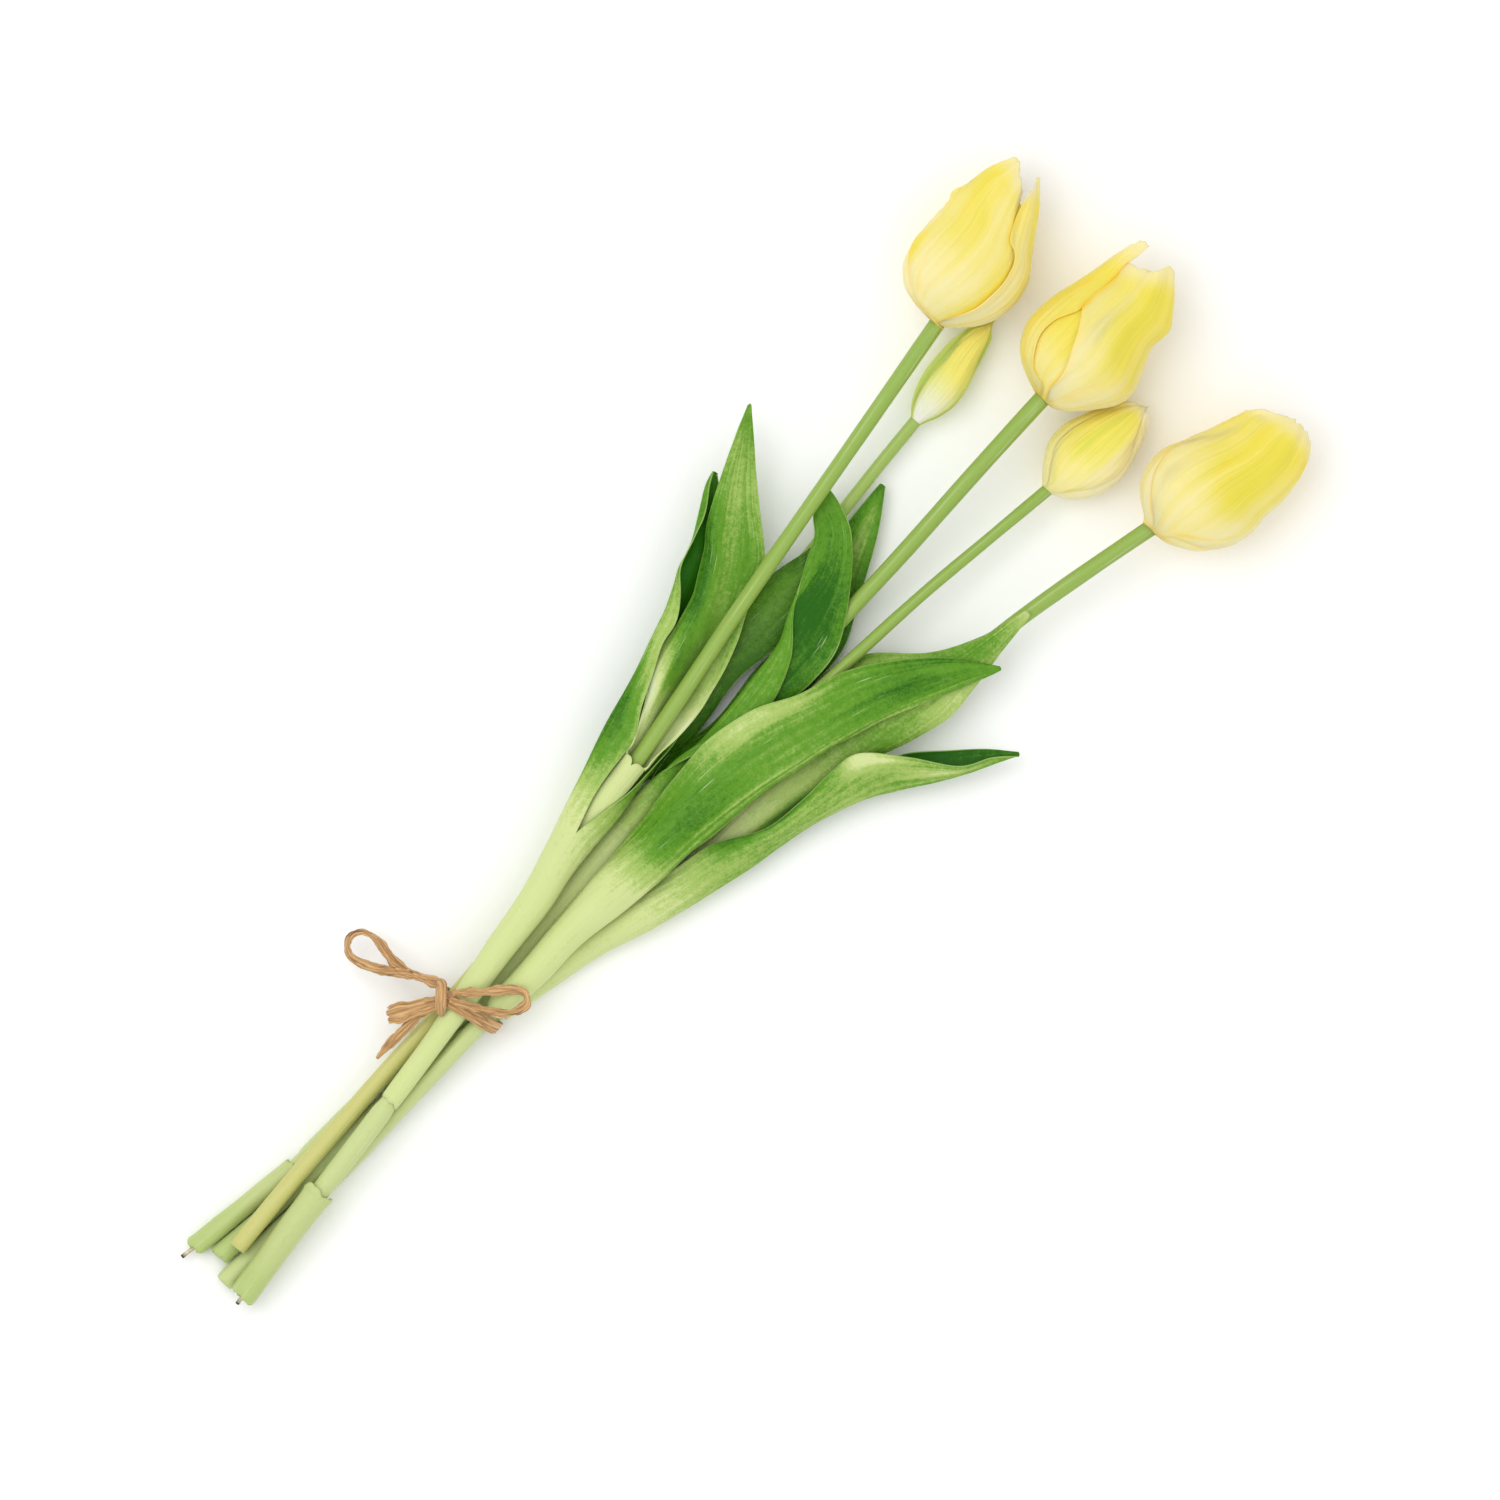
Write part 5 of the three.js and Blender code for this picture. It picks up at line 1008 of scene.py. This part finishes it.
BLOOM_3_PETALS = [
  petal((271, 66, 274, 57, 276, 52, 280, 45, 285, 37, 292, 30, 300, 15, 304, 6, 310, 4, 315, 13,
        320, 26, 326, 42, 331, 52), (271, 112, 274, 117, 277, 146, 281, 176, 288, 186, 300, 190,
        315, 192, 331, 190), (325.4, 328.2, 329.5, 329.9, 329.9, 329.5, 327.8, 324.6), curl=(0.04,
        0.035), streak=(0.05, 0.5), streaks=1.1, groove=0.15, wave=0.6),
  petal((-64, -60, -50), (271, 104, 285, 92, 300, 80, 315, 72, 331, 80), (315, 319, 322, 323.5,
        323.5), scale=(0.99, 0.89), middle=0.985, streaks=0.3, gap=0.6, pale=[(287, 42, 14, 20,
        0.7)]),
  petal((271, 100, 276, 112, 282, 140, 290, 156, 300, 160, 331, 160), (262, 262, 255), (322, 326,
        327, 325, 321), scale=(0.94, 0.99), middle=0.99, streaks=0.3, wave=0.6),
  petal((232, 234, 236), (316, 318, 316), (320, 325, 327, 325, 320), scale=(0.965, 0.965)),
  inner_petal((-10, -8, -6), (80, 78, 76), (311, 316, 318, 316, 311), 0.87),
  inner_petal((112, 114, 116), (200, 202, 204), (311, 316, 318, 316, 311), 0.87),
]
BUD_1_PETALS = [
  petal((244, 40, 250, 34, 257, 38, 266, 42, 276, 40, 287, 30), (244, 150, 250, 160, 262, 168, 276,
        160, 287, 150), (282, 285.6, 286.8, 286, 283), close=0.8, white=1, rim=0, green=0.75,
        ring=0, streak=(0, 0.4), streaks=0.5, tone=0.2, wave=0.1, groove=0.1, crease=0.7),
  petal((-80, -82, -76), (52, 58, 52), (280, 284, 286.4, 285, 282), close=0.8, scale=(0.97, 0.95),
        middle=0.985, rim=0, tone=-1.2, wave=0.1, streaks=0.3, streak=(0.2, 0.3)),
  petal((140, 150, 140), (282, 284, 280), (280, 284, 286, 285, 282), close=0.8, scale=(0.95, 0.97),
        middle=0.985, rim=0, tone=-1.2, wave=0.1, streaks=0.3),
]
BUD_2_PETALS = [
  petal((257, 60, 262, 48, 270, 38, 280, 34, 290, 42, 301, 60), (257, 128, 262, 124, 268, 140, 278,
        150, 288, 144, 301, 112), (298, 299.3, 299.8, 299.5, 298.4), close=0.4, streak=(-0.3, 0.5),
        streaks=1.15, ring=0, stains=[(272, 138, 18, 18, -0.6)], wave=0.12, groove=0.12, tone=0.15,
        close_from=0.94),
  petal((-76, -80, -74), (74, 56, 66), (297.6, 299, 299.5, 299, 298.2), close=0.9, scale=(0.98,
        0.95), middle=0.99, streaks=0.4, ring=0, crease=0.3, wave=0.12, close_from=0.95),
  # The third petal's low tone and pale patch make its -Y side cream: partly its own cream edge,
  # partly painted light where that side near the floor lies in shade.
  petal((257, 114, 268, 128, 278, 136, 301, 110), (282, 286, 282), (298.2, 299, 299.5, 299, 297.6),
        close=0.9, scale=(0.95, 0.98), middle=0.99, streaks=0.3, tone=-0.8, ring=0, crease=0.6,
        pale=[(276, 170, 20, 34, 0.6)], wave=0.12, close_from=0.95),
]

# Name, stations, stem, neck radius, petals, usual x, seed, material, slot, rows and columns.
HEADS = [
    ("bloom_1", BLOOM_1, STEM_1, 2.7, BLOOM_1_PETALS, (272, 300, 331), 1, PETAL_MAT,
     "petal_yellow", 72),
    ("bloom_2", BLOOM_2, STEM_3, 2.8, BLOOM_2_PETALS, (278, 300, 339), 2, PETAL_MAT,
     "petal_yellow", 72),
    ("bloom_3", BLOOM_3, STEM_5, 2.8, BLOOM_3_PETALS, (271, 300, 331), 3, PETAL_MAT,
     "petal_yellow", 72),
    ("bud_1", BUD_1, STEM_2, 2.0, BUD_1_PETALS, (244, 262, 287), 4, BUD1_MAT, "bud_yellow", 56),
    ("bud_2", BUD_2, STEM_4, 2.1, BUD_2_PETALS, (257, 275, 301), 5, BUD2_MAT, "bud_yellow", 56),
]
for entry in HEADS:
    build_head(*entry)


# Raffia tie: crinkled flat ribbons. Stations are x, y, z and half the width as a vector.

RIBBON_STEPS, RIBBON_COLUMNS = 12, 25
RIBBON_THICKNESS, RIBBON_THINNING = 0.62, 0.25
BAND_STEPS, BAND_LOWEST = 8, 0.36
KNOT_COLUMNS, KNOT_THICKNESS = 49, 0.5
# Of the knot: x, y, z, radius.
KNOT = [[-8.5, 7.4, 19.4, 0.9], [-7.6, 8.3, 20.8, 1.3], [-5.8, 10, 22, 1.5], [-3.4, 12, 22.3, 1.5],
        [-1.6, 13.6, 21.6, 1.5], [-1.2, 14.6, 20.2, 1.3], [-2, 14.9, 19, 0.9]]


def ribbon_grid(s, seed, twist):
    """Folded and crinkled grid of a ribbon, and its UV map."""
    w = np.linspace(-1, 1, RIBBON_COLUMNS)
    length = lengths(s[:, :3])
    width = 1 + 0.2 * ripple(seed, length / 10, 0 * length)
    p = s[:, None, :3] + s[:, None, 3:6] * (w[None, :] * width[:, None])[..., None]
    n = grid_normals(p)
    l2, w2 = length[:, None] + 0 * w, w[None] + 0 * length[:, None]
    turn = twist * ripple(seed + 3, l2 / 22, 0 * w2)
    lift = np.abs(((w2 + turn) * 1.5 + 10.3) % 1 - 0.5) - 0.25
    lift = lift + 0.16 * ripple(seed + 1, l2 / 5, w2 * 1.3)
    p = p + n * lift[..., None]
    side = unit(s[:, 3:6])[:, None]
    torn = 0.14 * np.sign(w2) * np.abs(w2) ** 6 * ripple(seed + 2, l2 / 3.2, np.sign(w2))
    p = p + side * torn[..., None]
    return p, np.stack([w2 * 0.5 + 0.5 + 0.3 * turn, l2], 2)


def build_ribbon(name, grid, uv):
    w = np.abs(uv[..., 0] * 2 - 1)
    shape = Shape()
    thickness = RIBBON_THICKNESS - RIBBON_THINNING * smooth(0.7, 1, w)
    add_sheet(shape, grid, thickness, np.stack([w, 0 * w], 2), uv)
    shape.make(name, RAFFIA_MAT)


def ends_cut(grid, uv, seed, amount):
    """Frays the last rows of a ribbon into an uneven end."""
    w = uv[..., 0] * 2 - 1
    share = np.linspace(0, 1, len(grid))[:, None]
    along = unit(grid[-1] - grid[-4]).mean(0)
    jag = amount * (ripple(seed, w * 1.5, 0 * w) - 0.5)
    return grid + (jag * smooth(0.8, 1.0, share))[..., None] * along


RIBBONS = [
  ("raffia_loop_left", [[-1.6, 14.2, 21, 1.3, 0.5, 0.5], [-3.2, 18.4, 20, 1.2, 0.5, 0.5],
    [-5.6, 23, 18.6, 1, 0.7, 0.6], [-8.6, 27.6, 16.8, 1.4, 0.6, 0.3], [-12, 33, 15, 1.5, 0.6, 0.2],
    [-14.6, 39, 12.8, 1.1, 0.2, 0.6], [-15, 43.6, 11.2, 0.9, -0.3, 0.9],
    [-11.4, 47, 10.4, 0.2, -1, 0.8], [-6.8, 45.4, 10.8, -0.9, -0.5, 0.8],
    [-5.2, 40, 12.2, -1.1, 0, 0.6], [-6.2, 34, 13.4, -1.5, 0.1, 0.2],
    [-6.8, 28.6, 14.4, -1.5, 0.2, 0.2], [-5, 23, 15.8, -1.2, -0.2, 0.4],
    [-3.4, 18.6, 17.4, -1.2, -0.4, 0.4], [-1.8, 15.4, 18.8, -0.9, -0.5, 0.3]]),
  ("raffia_loop_right", [[-0.6, 9.6, 23.6, 0.9, 1, 0.2], [4.6, 3.6, 22.6, 1, 1.1, 0.2],
    [9.8, -1, 21.6, 1.1, 1.1, 0.2], [14.2, -5.2, 20.8, 1.2, 0.9, 0.3],
    [15.6, -8.6, 20.4, 1.2, 0.2, 0.5], [13.4, -11, 20.2, 0.2, -1.1, 0.5],
    [9.6, -10.4, 20.2, -0.4, -1.2, 0.3], [6, -8, 20.4, -0.9, -0.9, 0.3],
    [3.6, -4.4, 21.4, -1.1, -0.6, 0.2], [1.6, -0.8, 22.6, -1.1, -0.6, 0.2],
    [-0.8, 3.8, 23.6, -1, -0.6, 0.2], [-3.2, 8.4, 23.6, -0.9, -0.5, 0.2]]),
  ("raffia_tail_wide", [[-6.6, 10.8, 20.8, 1.3, 1.9, 0], [-11.4, 13.8, 19.4, 1.5, 2.4, 0.2],
    [-16.4, 17, 17.6, 1.6, 2.5, 0.3], [-21.2, 20.2, 15.6, 1.5, 2.1, 0.2]]),
  ("raffia_tail_narrow", [[-8.4, 11.6, 18.4, 0.2, 1.3, 0], [-14, 12.4, 16.6, 0.1, 1.4, 0.2],
    [-22, 12.9, 14.4, 0.1, 1.4, 0.2], [-29, 13.2, 12.8, 0, 1.2, 0.1], [-34.2, 13, 12, 0, 0.5, 0]]),
]
for number, (name, stations) in enumerate(RIBBONS):
    grid, uv = ribbon_grid(dense(stations, RIBBON_STEPS), 200 + number,
                           0.0 if "tail" in name else 0.7)
    if "tail" in name:
        grid = ends_cut(grid, uv, 210 + number, 0.7 if "wide" in name else 0.3)
    build_ribbon(name, grid, uv)


def build_band():
    """The band is a closed loop round the stems, flat where it lies on the table."""
    loop = np.array(BAND[-2:] + BAND + BAND[:3])
    s = spline(loop, np.linspace(2, 2 + len(BAND), len(BAND) * BAND_STEPS + 1))
    along = unit(np.gradient(s, axis=0))
    w = np.linspace(-1, 1, RIBBON_COLUMNS)
    length = lengths(s)
    outward = unit(np.stack([0 * along[:, 0], -along[:, 2], along[:, 1]], 1))
    half = 2.3 + 0.2 * ripple(301, length / 17, 0 * length)
    low = smooth(1.6, 3.2, s[:, 2])[:, None]
    l2, w2 = length[:, None] + 0 * w, w[None] + 0 * length[:, None]
    lift = low * 0.8 * (np.abs(((w2 + 0.2 * np.sin(l2 / 8)) * 1.9 + 10.2) % 1 - 0.5) - 0.25)
    band = s[:, None] + np.array([1.0, 0, 0]) * (w[None] * half[:, None])[..., None]
    band = band + outward[:, None] * lift[..., None]
    band[..., 2] = np.maximum(band[..., 2], BAND_LOWEST)
    band[-1] = band[0]
    build_ribbon("raffia_band", band, np.stack([w2 * 0.5 + 0.5, l2], 2))


def build_knot():
    """The knot is a thick folded strand over the middle of the bow."""
    s = dense(KNOT, RIBBON_STEPS)
    rows = len(s)
    direction = unit(np.gradient(s[:, :3], axis=0))
    side = unit(np.cross([0, 0, 1.0], direction))
    up = np.cross(direction, side)
    angle = np.linspace(0, 2 * math.pi, KNOT_COLUMNS)
    fold = 1 + 0.12 * np.sin(angle * 5 + 0.6)[None] * np.ones((rows, 1)) + 0.06 * ripple(
        77, angle[None] * 0.4, np.linspace(0, 4, rows)[:, None])
    ring = np.cos(angle)[None, :, None] * side[:, None] + 0.8 * np.sin(
        angle)[None, :, None] * up[:, None]
    knot = s[:, None, :3] + ring * (s[:, 3:4] * fold)[..., None]
    uv = np.stack([angle[None] / math.pi + 0 * s[:, :1],
                   np.linspace(0, 16, rows)[:, None] + 0 * angle], 2)
    shape = Shape()
    add_sheet(shape, knot, np.full(fold.shape, KNOT_THICKNESS), np.zeros(fold.shape + (2,)), uv,
              rows)
    shape.make("raffia_knot", RAFFIA_MAT)


build_band()
build_knot()


# Stage: pale floor, soft light, camera straight above as in the photograph.

bpy.ops.mesh.primitive_plane_add(size=6, location=(0.1, 0, 0))
floor = bpy.context.object
floor.name = "floor"
floor.data.materials.append(Nodes("floor_paint").set(
    Base_Color=(0.97, 0.97, 0.97, 1), Roughness=0.7, Specular_IOR_Level=0.2))

world = bpy.data.worlds.new("studio")
bpy.context.scene.world = world
world.use_nodes = True
sky = world.node_tree.nodes["Background"].inputs
sky[0].default_value = (1, 1, 1, 1)
sky[1].default_value = 0.84


def lamp(name, place, aim, size, power):
    data = bpy.data.lights.new(name, "AREA")
    data.shape = "SQUARE"
    data.size = size
    data.energy = power
    obj = bpy.data.objects.new(name, data)
    bpy.context.scene.collection.objects.link(obj)
    obj.location = place
    obj.rotation_euler = (aim - Vector(place)).to_track_quat("-Z", "Y").to_euler()


CENTRE = Vector((0.1259, -0.0079, 0.015))
VIEW_WIDTH = 0.5
LENS, SENSOR = 400, 36  # millimetres
lamp("key", (0.02, 0.65, 1.60), CENTRE, 1.2, 10.2)
lamp("fill", (0.30, -0.9, 1.6), CENTRE, 1.8, 3.2)

camera_data = bpy.data.cameras.new("camera")
camera_data.lens = LENS
camera_data.sensor_width = SENSOR
camera_data.clip_end = 50
camera = bpy.data.objects.new("camera", camera_data)
bpy.context.scene.collection.objects.link(camera)
right, upward = Vector((0.682, -0.7314, 0)), Vector((0.7314, 0.682, 0))
turn = Matrix((right.normalized(), upward.normalized(), Vector((0, 0, 1)))).transposed()
height = Vector((0, 0, VIEW_WIDTH * LENS / SENSOR))
camera.matrix_world = Matrix.Translation(CENTRE + height) @ turn.to_4x4()
bpy.context.scene.camera = camera
bpy.context.scene.view_settings.view_transform = "Standard"
